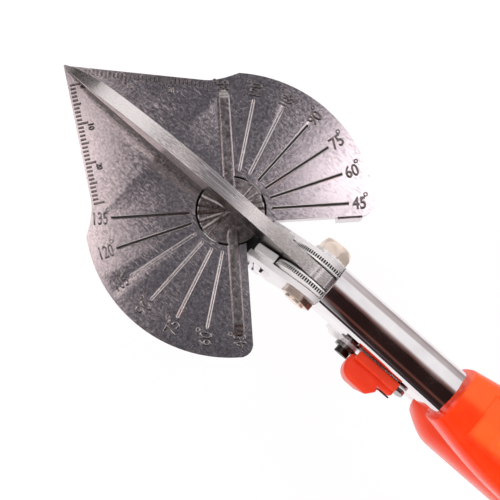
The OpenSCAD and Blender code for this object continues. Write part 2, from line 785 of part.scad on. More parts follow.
module knurled_disc() {
    teeth = [for (i = [0 : 2 * knurl_n - 1]) polar(knurl_r - (i % 2) * knurl_d, 180 * i / knurl_n)];
    color(steel) difference() {
        plate_y(half_blade, pack_out) translate([pivot_x, pivot_z]) polygon(teeth);
        rod_y(pivot_x, pivot_z, 0, upper_w, bush_r + fixed_fit);
    }
}

module left_knurled_disc() {
    knurled_disc();
}

module right_knurled_disc() {
    mirror([0, 1, 0]) knurled_disc();
}

// Pivot
module pivot_bush() {
    color(brass) difference() {
        rod_y(pivot_x, pivot_z, run_fit - cheek_in, cheek_in - run_fit, bush_r);
        rod_y(pivot_x, pivot_z, -upper_w, upper_w, bolt_r + run_fit);
    }
}

module hex_y(y0, y1) {
    translate([pivot_x, y0, pivot_z]) rotate([-90, hex_turn, 0])
        cylinder(h = y1 - y0, r = bolt_af / sqrt(3), $fn = 6);
}

module pivot_bolt() {
    face = -cheek_out - washer_t;
    color(chrome) {
        intersection() {
            hex_y(face - bolt_head, face);
            translate([pivot_x, face, pivot_z]) rotate([90, 0, 0])
                cylinder(h = bolt_head, r1 = 0.66 * bolt_af, r2 = 0.48 * bolt_af);
        }
        rod_y(pivot_x, pivot_z, face - eps, cheek_out + nut_t + washer_t / 2, bolt_r);
    }
}

module pivot_washer() {
    color(steel) difference() {
        rod_y(pivot_x, pivot_z, -cheek_out - washer_t, -cheek_out, washer_r);
        rod_y(pivot_x, pivot_z, -upper_w, 0, bolt_r + fixed_fit);
    }
}

module pivot_nut() {
    color(chrome) difference() {
        hex_y(cheek_out, cheek_out + nut_t);
        rod_y(pivot_x, pivot_z, 0, upper_w, bolt_r + fixed_fit);
    }
}

// Latch, drawn released
module latch_screw() {
    head_y = hook_y + hook_t + seat_gap;
    slot = latch_head_r / 3;
    color(chrome) difference() {
        union() {
            rod_y(latch_x, latch_z, pack_out + seat_gap, head_y + eps, latch_screw_r);
            rod_y(latch_x, latch_z, head_y, head_y + latch_head_h, latch_head_r);
        }
        translate([latch_x - latch_head_r, head_y + latch_head_h / 2, latch_z - slot / 2])
            cube([2 * latch_head_r, latch_head_h, slot]);
    }
}

module wedge(r, a0, a1) {
    polygon([[0, 0], polar(r, a0), polar(r, (2 * a0 + a1) / 3), polar(r, (a0 + 2 * a1) / 3), polar(r, a1)]);
}

module hook_outline() {
    difference() {
        union() {
            intersection() {
                circle(r = hook_r);
                wedge(2 * hook_r, hook_a0, hook_a2);
            }
            circle(r = latch_head_r + past);
        }
        intersection() {
            difference() {
                circle(r = catch_arm + hook_slot);
                circle(r = catch_arm - hook_slot);
            }
            wedge(2 * hook_r, hook_a0 - 5, hook_a1);
        }
    }
}

module latch_place() {
    translate([latch_x, 0, latch_z]) rotate([0, -latch_turn, 0]) children();
}

module latch_rivet_places() {
    for (reach = latch_rivet_reaches)
        translate([latch_x + reach * cos(latch_rivet_a), 0, latch_z + reach * sin(latch_rivet_a)])
            children();
}

module latch_hook() {
    color(steel) difference() {
        latch_place() plate_y(hook_y, hook_y + hook_t) hook_outline();
        rod_y(latch_x, latch_z, 0, 2 * upper_w, latch_screw_r + run_fit);
        latch_rivet_places() rod_y(0, 0, 0, 2 * upper_w, latch_rivet_r + fixed_fit);
    }
}

module lever_side() {
    low = lever_top - lever_h;
    polygon([[lever_front, low + lever_bevel], [lever_front, lever_top - lever_bevel],
        [lever_front - lever_bevel, lever_top], [lever_rear, lever_top],
        [lever_rear, low + 3 * lever_bevel], [lever_rear + 2.5 * lever_bevel, low],
        [lever_front - lever_bevel, low]]);
}

module lever_plan() {
    tab_rear = lever_front - tab_l;
    polygon([[lever_front, lever_y], [lever_front, leg_out + lever_bevel],
        [lever_front - lever_bevel, lever_out], [tab_rear, lever_out],
        [tab_rear - 1.4 * lever_bevel, leg_out + lever_bevel / 2], [tab_rear, leg_out],
        [lever_rear, leg_out], [lever_rear, lever_y]]);
}

module latch_lever() {
    color(red) difference() {
        union() {
            intersection() {
                plate_y(lever_y, lever_out) lever_side();
                translate([0, 0, lever_top - lever_h - past]) linear_extrude(lever_h + 2 * past) lever_plan();
            }
            translate([lever_front - lever_bevel - shield_l, hook_y + seat_gap, lever_top - shield_h])
                cube([shield_l, hook_t, shield_h]);
        }
        latch_rivet_places() rod_y(0, 0, 0, rivet_end, latch_rivet_r + fixed_fit);
    }
}

module latch_leaf() {
    color(chrome) translate([lever_rear, leg_out, lever_top - leaf_h - lever_bevel])
        cube([lever_l - tab_l - 1.4 * lever_bevel, leaf_t, leaf_h]);
}

module latch_rivets() {
    color(steel) latch_rivet_places()
        rod_y(0, 0, hook_y, rivet_end - seat_gap, latch_rivet_r);
}

// Return spring between the arms, one unbroken wire
spring_lift = spring_low + 2 * wire_d;
spring_rise = spring_high - spring_low - 4 * wire_d;
function coil_at(a) = [coil_r * cos(a), coil_r * sin(a), spring_lift + spring_rise * a / (360 * coil_n)];
coil_rings = 8;
coil_steps = coil_rings * coil_n;
coil_path = concat([[coil_r, 0, spring_low], [coil_r, 0, spring_low + wire_d]],
    [for (i = [0 : coil_steps]) coil_at(360 * i / coil_rings)],
    [[coil_r, 0, spring_high - wire_d], [coil_r, 0, spring_high]]);
coil_last = len(coil_path) - 1;
coil_gaps = [for (i = [0 : coil_last], j = [i + 6 : coil_last]) if (j <= coil_last)
    norm(coil_path[i] - coil_path[j]) - wire_d];

function unit(v) = v / norm(v);
function coil_ring(i) = let (
        p = coil_path[i],
        t = i < 2 || i > coil_last - 2 ? [0, 0, 1] : unit(coil_path[i + 1] - coil_path[i - 1]),
        n = unit([p[0], p[1], 0]),
        b = cross(t, n))
    [for (k = [0 : 5]) p + wire_d / 2 * (cos(60 * k) * n + sin(60 * k) * b)];

module return_spring() {
    echo(least_gap_between_turns = min(coil_gaps));
    color(steel) translate([-spring_back, 0, 0]) sweep_rings([for (i = [0 : coil_last]) coil_ring(i)]);
}

module spring_stud(z) {
    translate([-spring_back, 0, z]) cylinder(h = stud_l, r = stud_r);
}

module upper_spring_stud() {
    color(black) spring_stud(roof_at(-spring_back - stud_r) - wall_t - stud_l);
}

module lower_spring_stud() {
    color(black) spring_stud(lower_bot + wall_t);
}

upper_arm();
upper_grip();
jaw_block();
angle_plate();
plate_screws();
jaw_rivets();
pivot_bolt();
pivot_washer();
pivot_nut();
catch_pin();
upper_spring_stud();
return_spring();
fence_cone_spring();
fence_hold_pins();
angle_fence();
blade();
left_knurled_disc();
right_knurled_disc();
pivot_bush();
lower_arm();
tang_packing();
tang_rivets();
lower_grip();
lower_spring_stud();
latch_screw();
latch_hook();
latch_lever();
latch_leaf();
latch_rivets();
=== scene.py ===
"""Mitre shears: finishes, cast marks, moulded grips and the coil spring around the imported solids."""
import logging
from dataclasses import dataclass
from enum import Enum
from math import cos, radians, sin
from typing import Any

import bmesh
import bpy
import numpy as np
from bpy.types import Light, Material, Mesh, Node, NodeSocket, NodeTree, Object, World
from mathutils import Matrix, Vector


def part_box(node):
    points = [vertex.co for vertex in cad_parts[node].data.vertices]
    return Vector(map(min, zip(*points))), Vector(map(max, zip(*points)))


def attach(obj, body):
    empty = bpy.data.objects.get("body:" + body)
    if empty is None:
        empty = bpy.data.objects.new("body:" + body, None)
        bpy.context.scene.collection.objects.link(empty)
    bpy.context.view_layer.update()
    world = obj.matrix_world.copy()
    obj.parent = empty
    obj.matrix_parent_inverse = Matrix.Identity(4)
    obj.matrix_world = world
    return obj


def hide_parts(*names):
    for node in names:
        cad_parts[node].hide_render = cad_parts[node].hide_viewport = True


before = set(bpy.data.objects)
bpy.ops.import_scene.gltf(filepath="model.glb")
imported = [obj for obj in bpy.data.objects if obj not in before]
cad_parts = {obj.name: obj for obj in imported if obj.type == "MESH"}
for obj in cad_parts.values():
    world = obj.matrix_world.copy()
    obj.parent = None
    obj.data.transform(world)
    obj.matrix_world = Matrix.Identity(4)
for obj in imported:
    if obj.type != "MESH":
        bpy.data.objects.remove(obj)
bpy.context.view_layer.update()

LOG = logging.getLogger("mitre_shears")
Values = float | np.ndarray
MM = 0.001
MERGE_DISTANCE = 0.001 * MM
SLIVER_LENGTH = MERGE_DISTANCE / 10
FLAT_ANGLE = radians(0.5)
CREASE_ANGLE = radians(32)
QUARTER_TURN = np.pi / 2
WHITE = "#FFFFFF"
# Points that round one corner of an outline
ARC_POINTS = 10
# Nearly all values of a noise pattern lie between these
NOISE_RANGE = {"From Min": 0.3, "From Max": 0.7}


class Body(Enum):
    """The bodies that pieces ride on."""

    ANVIL = "anvil_arm"
    FENCE = "fence"
    BLADE = "blade_arm"
    LATCH = "latch"


class Slot(Enum):
    """The record's material slots."""

    PLATE = "plate_casting"
    BLADE = "blade_steel"
    CHROME = "chrome_steel"
    PLAIN = "plain_steel"
    JAW = "jaw_black"
    GRIP = "grip_orange"
    LATCH = "latch_red"


class Side(Enum):
    """Left and right of the blade line, as the sign of Y."""

    LEFT = 1
    RIGHT = -1

    @property
    def word(self) -> str:
        """The side's name as pieces and solids spell it."""
        return self.name.lower()


def linear(colour: str) -> tuple[float, float, float, float]:
    """Turns an sRGB hex colour into linear red, green, blue and alpha, by that standard's own numbers.

    Args:
        colour: a hex colour such as "#B4B0AE".

    Returns:
        Four numbers for a colour socket.
    """
    parts = np.array([int(colour[i:i + 2], 16) for i in (1, 3, 5)]) / 255
    low = parts / 12.92
    high = ((parts + 0.055) / 1.055) ** 2.4
    return (*np.where(parts <= 0.04045, low, high).tolist(), 1.0)


def per(size: float) -> float:
    """Gives the pattern scale whose features are size millimetres wide."""
    return 1 / (size * MM)


def emptied(owner: Material | World | Light) -> NodeTree:
    """Turns on the nodes of a material, world or lamp, and gives its node tree without any.

    Args:
        owner: the material, world or lamp.

    Returns:
        The empty node tree.
    """
    owner.use_nodes = True
    owner.node_tree.nodes.clear()
    return owner.node_tree


def add(tree: NodeTree, kind: str, inputs: dict[Any, Any] | None = None, **settings: Any) -> Node:
    """Adds one shader node, sets it and fills or links its inputs.

    Args:
        tree: the node tree that takes the node.
        kind: the node's type without its ShaderNode prefix.
        inputs: socket names or numbers with a value, or with the output that is linked to them.
        settings: the node's own properties.

    Returns:
        The new node.
    """
    node = tree.nodes.new("ShaderNode" + kind)
    for key, value in settings.items():
        setattr(node, key, value)
    for socket, value in (inputs or {}).items():
        if isinstance(value, NodeSocket):
            tree.links.new(value, node.inputs[socket])
        else:
            node.inputs[socket].default_value = value
    return node


@dataclass(frozen=True)
class Finish:
    """A surface finish: two tones blended by a grain, which the roughness and the relief follow.

    Sizes and heights are in millimetres. A finish with a wave has a second, smoother relief, and one
    with a mask turns to the marked colour where the piece's own UV map of that name says so.
    """

    name: str
    tone: str
    shade: str
    rough: float
    grain: float
    metallic: float = 1.0
    swing: float = 0.06
    lift: float = 0.004
    strength: float = 1.0
    wave: float = 0.0
    wave_lift: float = 0.0
    wave_strength: float = 0.0
    ior: float = 1.5
    coat: float = 0.0
    coat_rough: float = 0.03
    mask: str = ""
    marked: str = ""

    def pattern(self, tree: NodeTree, place: NodeSocket) -> NodeSocket:
        """Gives the cloudy grain at a place on the piece."""
        return add(tree, "TexNoise", {"Vector": place, "Scale": per(self.grain), "Detail": 3.0}).outputs[0]

    def relief(self, tree: NodeTree, place: NodeSocket, normal: NodeSocket) -> NodeSocket:
        """Lays the wave over the grain's relief, where the finish has one.

        Args:
            tree: the material's nodes.
            place: the piece's own coordinates.
            normal: the surface's direction after the grain.

        Returns:
            The surface's direction after the wave.
        """
        if not self.wave:
            return normal
        wave = add(tree, "TexNoise", {"Vector": place, "Scale": per(self.wave), "Detail": 1.0})
        bump = add(tree, "Bump", {"Height": wave.outputs[0], "Distance": self.wave_lift * MM,
                                  "Strength": self.wave_strength, "Normal": normal})
        return bump.outputs[0]

    def material(self) -> Material:
        """Makes the material once and gives it back after that.

        Returns:
            The node material of this finish.
        """
        found = bpy.data.materials.get(self.name)
        if found:
            return found
        made = bpy.data.materials.new(self.name)
        tree = emptied(made)
        place = add(tree, "TexCoord").outputs["Object"]
        grain = self.pattern(tree, place)
        share = add(tree, "MapRange", {"Value": grain, **NOISE_RANGE}).outputs[0]
        tone = add(tree, "Mix", {0: share, 6: linear(self.shade), 7: linear(self.tone)}, data_type="RGBA")
        if self.mask:
            spot = add(tree, "UVMap", uv_map=self.mask).outputs[0]
            mark = add(tree, "SeparateXYZ", {0: spot}).outputs["X"]
            tone = add(tree, "Mix", {0: mark, 6: tone.outputs[2], 7: linear(self.marked)}, data_type="RGBA")
        rough = add(tree, "MapRange", {"Value": grain, **NOISE_RANGE, "To Min": self.rough - self.swing,
                                       "To Max": self.rough + self.swing})
        bump = add(tree, "Bump", {"Height": grain, "Distance": self.lift * MM, "Strength": self.strength})
        shader = add(tree, "BsdfPrincipled", {
            "Base Color": tone.outputs[2], "Metallic": self.metallic, "Roughness": rough.outputs[0],
            "IOR": self.ior, "Coat Weight": self.coat, "Coat Roughness": self.coat_rough,
            "Normal": self.relief(tree, place, bump.outputs[0])})
        add(tree, "OutputMaterial", {"Surface": shader.outputs[0]})
        return made


@dataclass(frozen=True)
class TumbledCasting(Finish):
    """Die-cast zinc alloy, tumbled with stones: satin, cloudy, with short scratches every way."""

    swing: float = 0.05
    lift: float = 0.005
    scratch_turns: tuple[float, ...] = (12.0, 58.0, 104.0, 151.0)
    scratch_l: float = 2.6
    scratch_w: float = 0.16
    scratch_d: float = 0.009
    scratch_cut: tuple[float, float] = (0.66, 0.75)
    scratch_strength: float = 0.7
    patch: float = 8.0
    patch_cut: tuple[float, float] = (0.38, 0.64)
    patch_least: float = 0.25

    def relief(self, tree: NodeTree, place: NodeSocket, normal: NodeSocket) -> NodeSocket:
        """Cuts scratches at several angles into the grain, fainter between the worn patches.

        Args:
            tree: the material's nodes.
            place: the piece's own coordinates.
            normal: the surface's direction after the grain.

        Returns:
            The surface's direction after the scratches.
        """
        height: float | NodeSocket = 0.0
        for turn in self.scratch_turns:
            turned = add(tree, "Mapping", {
                "Vector": place, "Rotation": (0.0, 0.0, radians(turn)), "Location": (turn * MM, 0.0, 0.0),
                "Scale": (per(self.scratch_l), per(self.scratch_w), per(self.scratch_l))})
            streak = add(tree, "TexNoise", {"Vector": turned.outputs[0], "Scale": 1.0, "Detail": 1.0})
            line = add(tree, "MapRange", {"Value": streak.outputs[0], "From Min": self.scratch_cut[0],
                                          "From Max": self.scratch_cut[1]})
            height = add(tree, "Math", {0: height, 1: line.outputs[0]}, operation="MAXIMUM").outputs[0]
        patches = add(tree, "TexNoise", {"Vector": place, "Scale": per(self.patch), "Detail": 2.0})
        worn = add(tree, "MapRange", {"Value": patches.outputs[0], "From Min": self.patch_cut[0],
                                      "From Max": self.patch_cut[1], "To Min": self.patch_least})
        height = add(tree, "Math", {0: height, 1: worn.outputs[0]}, operation="MULTIPLY").outputs[0]
        scored = add(tree, "Bump", {"Height": height, "Distance": self.scratch_d * MM,
                                    "Strength": self.scratch_strength, "Normal": normal}, invert=True)
        return scored.outputs[0]


@dataclass(frozen=True)
class GroundSteel(Finish):
    """Blade steel ground lengthwise on the spine, with painted shade, a darker colour, on its flanks."""

    swing: float = 0.07
    lift: float = 0.007
    strength: float = 0.8
    # Faces marked in the blade's map take this darker colour: painted shade on the flanks and near the tip
    mask: str = "flank_shade"
    marked: str = "#7C7470"
    line_l: float = 14.0

    def pattern(self, tree: NodeTree, place: NodeSocket) -> NodeSocket:
        """Gives grinding lines along X, drawn a little coarser than real ones so that they show.

        Args:
            tree: the material's nodes.
            place: the piece's own coordinates.

        Returns:
            The lines, from 0 to 1.
        """
        size = (per(self.line_l), per(self.grain), per(self.grain))
        drawn = add(tree, "Mapping", {"Vector": place, "Scale": size})
        return add(tree, "TexNoise", {"Vector": drawn.outputs[0], "Scale": 1.0, "Detail": 3.0}).outputs[0]


@dataclass(frozen=True)
class ChromePlate(Finish):
    """Bright chrome over rolled sheet: mirror bands with a slight ripple and faint handling haze."""

    swing: float = 0.04
    lift: float = 0.001
    wave: float = 9.0
    wave_lift: float = 0.06
    wave_strength: float = 0.5


@dataclass(frozen=True)
class MouldedVinyl(Finish):
    """Dipped and moulded soft vinyl: glossy, saturated, with a faint orange-peel skin and wear haze."""

    metallic: float = 0.0
    lift: float = 0.001
    wave: float = 1.4
    wave_lift: float = 0.012
    wave_strength: float = 0.6
    ior: float = 1.3
    coat: float = 0.05
    coat_rough: float = 0.12


@dataclass(frozen=True)
class BlackEnamel(Finish):
    """Stoved black enamel on a casting: deep, half glossy, with the casting's soft unevenness."""

    metallic: float = 0.0
    swing: float = 0.08
    lift: float = 0.02
    coat: float = 0.2


# Zinc alloy as it comes from the tumbling drum: grey, cloudy and scratched
PLATE_FINISH = TumbledCasting("tumbled_zinc_casting", "#E2DBDD", "#BEB7BA", 0.18, 0.55)
# The angle lines take a lighter copy of the alloy, a painted highlight that makes their lips read bright
LINE_FINISH = TumbledCasting("zinc_casting_painted_highlight", "#FFFDFC", "#E6E0E0", 0.16, 0.4)
# The raised marks take a darker copy of the alloy: painted shade
MARK_FINISH = TumbledCasting("casting_marks_painted_shade", "#A09A98", "#6C6664", 0.34, 0.5)
# Those of the left fan and the right ruler take a lighter copy, a painted highlight, so that their edges
# glint
LIT_MARK_FINISH = TumbledCasting("casting_marks_painted_highlight", "#C4BEBC", "#8A8482", 0.2, 0.5)
# The turntable and the fence arms take the same alloy in a darker copy: painted shade
TABLE_FINISH = TumbledCasting("zinc_casting_painted_shade", "#C6BFBE", "#958D8B", 0.24, 0.9)
# Carbon steel from the grinding wheel
BLADE_FINISH = GroundSteel("ground_carbon_steel", "#FFFCFB", "#DAD4D2", 0.24, 0.14)
# Nickel and chrome over steel sheet
CHROME_FINISH = ChromePlate("bright_chrome_plate", "#F1EDEF", "#E2DCDF", 0.07, 6.0)
# Satin nickel of the pivot's bolt, warmer than chrome
NICKEL_FINISH = Finish("satin_nickel", "#FBEBDD", "#F6E2D2", 0.28, 5.0, 0.7)
# The nut, darker and more mirror-like than the bolt
NUT_FINISH = Finish("darker_nickel", "#E6D6CA", "#C6B4A8", 0.16, 5.0, 0.95)
# Turned and zinc-plated small parts
ZINC_FINISH = Finish("frosted_zinc_plate", "#FAF7F6", "#EEEAE9", 0.32, 3.0, 0.4)
# Catch pin, studs and rivets, plated without polish
DULL_ZINC = Finish("dull_zinc_plate", "#F6F4F3", "#EAE7E5", 0.5, 3.0, 0.2)
# Painted shade: a dark colour laid in the knurls and along the floors of some angle lines, where shade falls
PAINTED_SHADE = Finish("dark_painted_shade", "#2A2624", "#1A1716", 0.4, 0.8, 0.0)
# Polished cheeks, softer in their mirror than the chrome of the channel
SATIN_FINISH = Finish("satin_chrome_plate", "#F8F5F6", "#EDE9EA", 0.3, 6.0, 0.6)
# The latch screw, in a dark steel
BLACK_STEEL = Finish("dark_steel", "#4C4745", "#2E2A29", 0.3, 0.8)
# Oiled spring wire, and the oiled hook of the latch
WIRE_FINISH = Finish("oiled_spring_steel", "#A5A19F", "#6E6A69", 0.28, 1.2)
# Turned brass, a little dull
BRASS_FINISH = Finish("turned_brass", "#C9A45A", "#A07C3C", 0.28, 1.0)
# Enamelled jaw casting
JAW_FINISH = BlackEnamel("stoved_black_enamel", "#1C1C1F", "#121214", 0.36, 0.9)
# Orange vinyl of the upper grip, with a painted sheen of paler orange on its top, and the pinker lower one
UPPER_VINYL = MouldedVinyl("orange_vinyl", "#FF3E00", "#FF3200", 0.24, 7.0, mask="painted_sheen", marked="#FF7A34")
# The lower grip is the same vinyl painted pinker and paler, a painted reflection of the pale floor
LOWER_VINYL = MouldedVinyl("vinyl_painted_reflection", "#F24A2A", "#EC3E20", 0.3, 7.0)
# Red moulded lever
LEVER_FINISH = MouldedVinyl("red_moulded_abs", "#EC3E1C", "#E43414", 0.34, 4.0)


def link(data: bpy.types.ID, name: str) -> Object:
    """Puts a mesh, text, lamp or camera into the scene as an object at the origin.

    Args:
        data: the finished data.
        name: the object's name.

    Returns:
        The new object.
    """
    made = bpy.data.objects.new(name, data)
    bpy.context.scene.collection.objects.link(made)
    return made


def coat(mesh: Mesh, finish: Finish) -> None:
    """Gives a mesh a finish in place of any other."""
    mesh.materials.clear()
    mesh.materials.append(finish.material())


def settle(piece: Object, body: Body, slot: Slot, finish: Finish, *nodes: str) -> None:
    """Gives a piece its finish, its body and the solids that it stands for.

    Args:
        piece: the object.
        body: the body that carries it.
        slot: the record's material slot; not used.
        finish: the surface finish.
        nodes: the solids that the piece replaces.
    """
    coat(piece.data, finish)
    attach(piece, body.value)
    if nodes:
        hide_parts(*nodes)
    LOG.info("%s rides on %s", piece.name, body.value)


def paint(finish: Finish, *nodes: str) -> None:
    """Gives solids that keep their own mesh a finish.

    Args:
        finish: the surface finish.
        nodes: the solids' names.
    """
    for name in nodes:
        coat(smooth(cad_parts[name].data), finish)
        LOG.info("%s keeps its solid", name)


def span(node: str) -> tuple[np.ndarray, np.ndarray]:
    """Gives a solid's lowest and highest corners at rest, in millimetres."""
    low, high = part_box(node)
    return np.array(low) / MM, np.array(high) / MM


def points_of(mesh: Mesh) -> np.ndarray:
    """Gives a mesh's points in millimetres.

    Args:
        mesh: the mesh, in metres.

    Returns:
        One row for each point.
    """
    flat = np.zeros(len(mesh.vertices) * 3)
    mesh.vertices.foreach_get("co", flat)
    return flat.reshape(-1, 3) / MM


def at_corners(mesh: Mesh) -> np.ndarray:
    """Gives the places of a mesh's face corners in millimetres.

    Args:
        mesh: the mesh, in metres.

    Returns:
        One row for each corner of each face.
    """
    point = np.zeros(len(mesh.loops), int)
    mesh.loops.foreach_get("vertex_index", point)
    return points_of(mesh)[point]


def mark(mesh: Mesh, finish: Finish, share: np.ndarray) -> None:
    """Writes one share for each face corner into the UV map that a finish reads."""
    layer = mesh.uv_layers.new(name=finish.mask)
    layer.uv.foreach_set("vector", np.repeat(share, 2))


def smooth(mesh: Mesh) -> Mesh:
    """Shades a mesh smooth up to the crease angle and gives it back.

    Args:
        mesh: the mesh.

    Returns:
        The same mesh.
    """
    mesh.shade_smooth()
    mesh.set_sharp_from_angle(angle=CREASE_ANGLE)
    return mesh


def tidy(mesh: Mesh) -> Mesh:
    """Merges doubled points, so that seams and poles close, and turns all faces outward.

    Args:
        mesh: a mesh made of grids.

    Returns:
        The same mesh, shaded smooth.
    """
    work = bmesh.new()
    work.from_mesh(mesh)
    bmesh.ops.remove_doubles(work, verts=work.verts, dist=MERGE_DISTANCE)
    bmesh.ops.dissolve_degenerate(work, edges=work.edges, dist=SLIVER_LENGTH)
    bmesh.ops.recalc_face_normals(work, faces=work.faces)
    work.to_mesh(mesh)
    work.free()
    return smooth(mesh)


def grid_faces(index: np.ndarray) -> np.ndarray:
    """Gives the four corners of every cell of one or more grids of point numbers."""
    corners = [index[..., :-1, :-1], index[..., 1:, :-1], index[..., 1:, 1:], index[..., :-1, 1:]]
    return np.stack(corners, -1).reshape(-1, 4)


def surface(name: str, points: np.ndarray, ring: bool = True, ends: bool = False) -> Mesh:
    """Makes a mesh from one or more grids of points, rows along the shape and columns round it.

    Args:
        name: the mesh's name.
        points: an array of rows, columns and three places in millimetres, or several of these stacked.
        ring: whether each row closes on itself.
        ends: whether the first and the last row are closed with a face.

    Returns:
        The mesh, in metres.
    """
    index = np.arange(points[..., 0].size).reshape(points.shape[:-1])
    caps = np.concatenate([index[..., row, :].reshape(-1, index.shape[-1]) for row in (0, -1)])
    if ring:
        index = np.concatenate([index, index[..., :1]], -1)
    faces = grid_faces(index).tolist() + (caps.tolist() if ends else [])
    mesh = bpy.data.meshes.new(name)
    mesh.from_pydata((points.reshape(-1, 3) * MM).tolist(), [], faces)
    return tidy(mesh)


def formed(name: str, points: np.ndarray, ring: bool = True, ends: bool = False) -> Object:
    """Makes a piece of the mesh that surface makes of the same values."""
    return link(surface(name, points, ring, ends), name)


def places(x: Values, y: Values, z: Values) -> np.ndarray:
    """Stacks three coordinates, spread to one common shape, as places."""
    return np.stack(np.broadcast_arrays(x, y, z), -1)


def around(count: int) -> np.ndarray:
    """Gives the angles of count equal steps round a full turn."""
    return np.linspace(0, 2 * np.pi, count, endpoint=False)


def step(value: np.ndarray, low: float, high: float) -> np.ndarray:
    """Rises from 0 at low to 1 at high along a smooth S curve."""
    share = np.clip((value - low) / (high - low), 0, 1)
    return share * share * (3 - 2 * share)


def quarter_round(past: np.ndarray, least: float = 0.0) -> np.ndarray:
    """Falls from 1 to least along a quarter circle while past goes from 0 to 1."""
    return np.sqrt(np.clip(1 - past ** 2, least ** 2, 1))


def bent(wave: np.ndarray, power: float) -> np.ndarray:
    """Raises a wave to a power and keeps its sign, which squares a circle into a superellipse."""
    return np.sign(wave) * np.abs(wave) ** power


def both_sides(across: np.ndarray, up: np.ndarray) -> tuple[np.ndarray, np.ndarray]:
    """Doubles half a section, given from its middle outward, about its middle line."""
    return np.concatenate([-across[::-1], across]), np.concatenate([up[::-1], up])


def rounded(corners: list[tuple[float, float]], radii: tuple[float, ...]) -> tuple[np.ndarray, np.ndarray]:
    """Rounds a polygon that runs counter-clockwise: each corner becomes an arc, hollow corners too.

    Args:
        corners: the polygon's corners in millimetres.
        radii: one radius for each corner.

    Returns:
        The points of the outline and the outward normals at them.
    """
    place = np.array(corners, float)
    ahead = np.roll(place, -1, 0) - place
    ahead /= np.linalg.norm(ahead, axis=1, keepdims=True)
    before = np.roll(ahead, 1, 0)
    turn = np.arctan2(before[:, 0] * ahead[:, 1] - before[:, 1] * ahead[:, 0], (before * ahead).sum(1))
    start = np.arctan2(-before[:, 0], before[:, 1])
    angle = start[:, None] + turn[:, None] * np.linspace(0, 1, ARC_POINTS)
    normal = np.stack([np.cos(angle), np.sin(angle)], -1)
    middle = np.stack([np.cos(start + turn / 2), np.sin(start + turn / 2)], -1)
    reach = (np.sign(turn) * np.array(radii))[:, None]
    centre = place - middle * reach / np.cos(turn / 2)[:, None]
    points = centre[:, None] + reach[:, None] * normal
    return points.reshape(-1, 2), normal.reshape(-1, 2)


def bevelled(piece: Object, edge: float, segments: int = 2) -> Object:
    """Rounds a piece's edges with a modifier.

    Args:
        piece: the object.
        edge: the width of the rounded edges in millimetres.
        segments: how many strips round an edge.

    Returns:
        The same object.
    """
    bevel = piece.modifiers.new("rounded_edges", "BEVEL")
    bevel.width = edge * MM
    bevel.segments = segments
    bevel.limit_method = "ANGLE"
    bevel.angle_limit = CREASE_ANGLE
    bevel.use_clamp_overlap = True
    bevel.harden_normals = True
    return piece


def soften(node: str, edge: float, segments: int = 2, ahead_of: float | None = None) -> Object:
    """Copies a solid, merges its triangles into faces and rounds its edges.

    Args:
        node: the solid's name.
        edge: the width of the rounded edges in millimetres.
        segments: how many strips round an edge.
        ahead_of: keeps only what lies ahead of this X in millimetres.

    Returns:
        The softened copy.
    """
    work = bmesh.new()
    work.from_mesh(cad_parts[node].data)
    bmesh.ops.remove_doubles(work, verts=work.verts, dist=MERGE_DISTANCE)
    if ahead_of is not None:
        every = [*work.verts, *work.edges, *work.faces]
        cut = bmesh.ops.bisect_plane(work, geom=every, dist=MERGE_DISTANCE, plane_co=(ahead_of * MM, 0, 0),
                                     plane_no=(1, 0, 0), clear_inner=True)["geom_cut"]
        bmesh.ops.holes_fill(work, edges=[part for part in cut if isinstance(part, bmesh.types.BMEdge)])
    bmesh.ops.dissolve_limit(work, angle_limit=FLAT_ANGLE, verts=work.verts, edges=work.edges)
    mesh = bpy.data.meshes.new(node + "_finished")
    work.to_mesh(mesh)
    work.free()
    return bevelled(link(smooth(mesh), node + "_finished"), edge, segments)


def joined(name: str, meshes: list[Mesh]) -> Object:
    """Joins meshes into one piece.

    Args:
        name: the piece's name.
        meshes: the meshes, which are removed.

    Returns:
        The joined piece.
    """
    work = bmesh.new()
    for mesh in meshes:
        work.from_mesh(mesh)
        bpy.data.meshes.remove(mesh)
    bmesh.ops.remove_doubles(work, verts=work.verts, dist=MERGE_DISTANCE)
    made = bpy.data.meshes.new(name)
    work.to_mesh(made)
    work.free()
    return link(smooth(made), name)


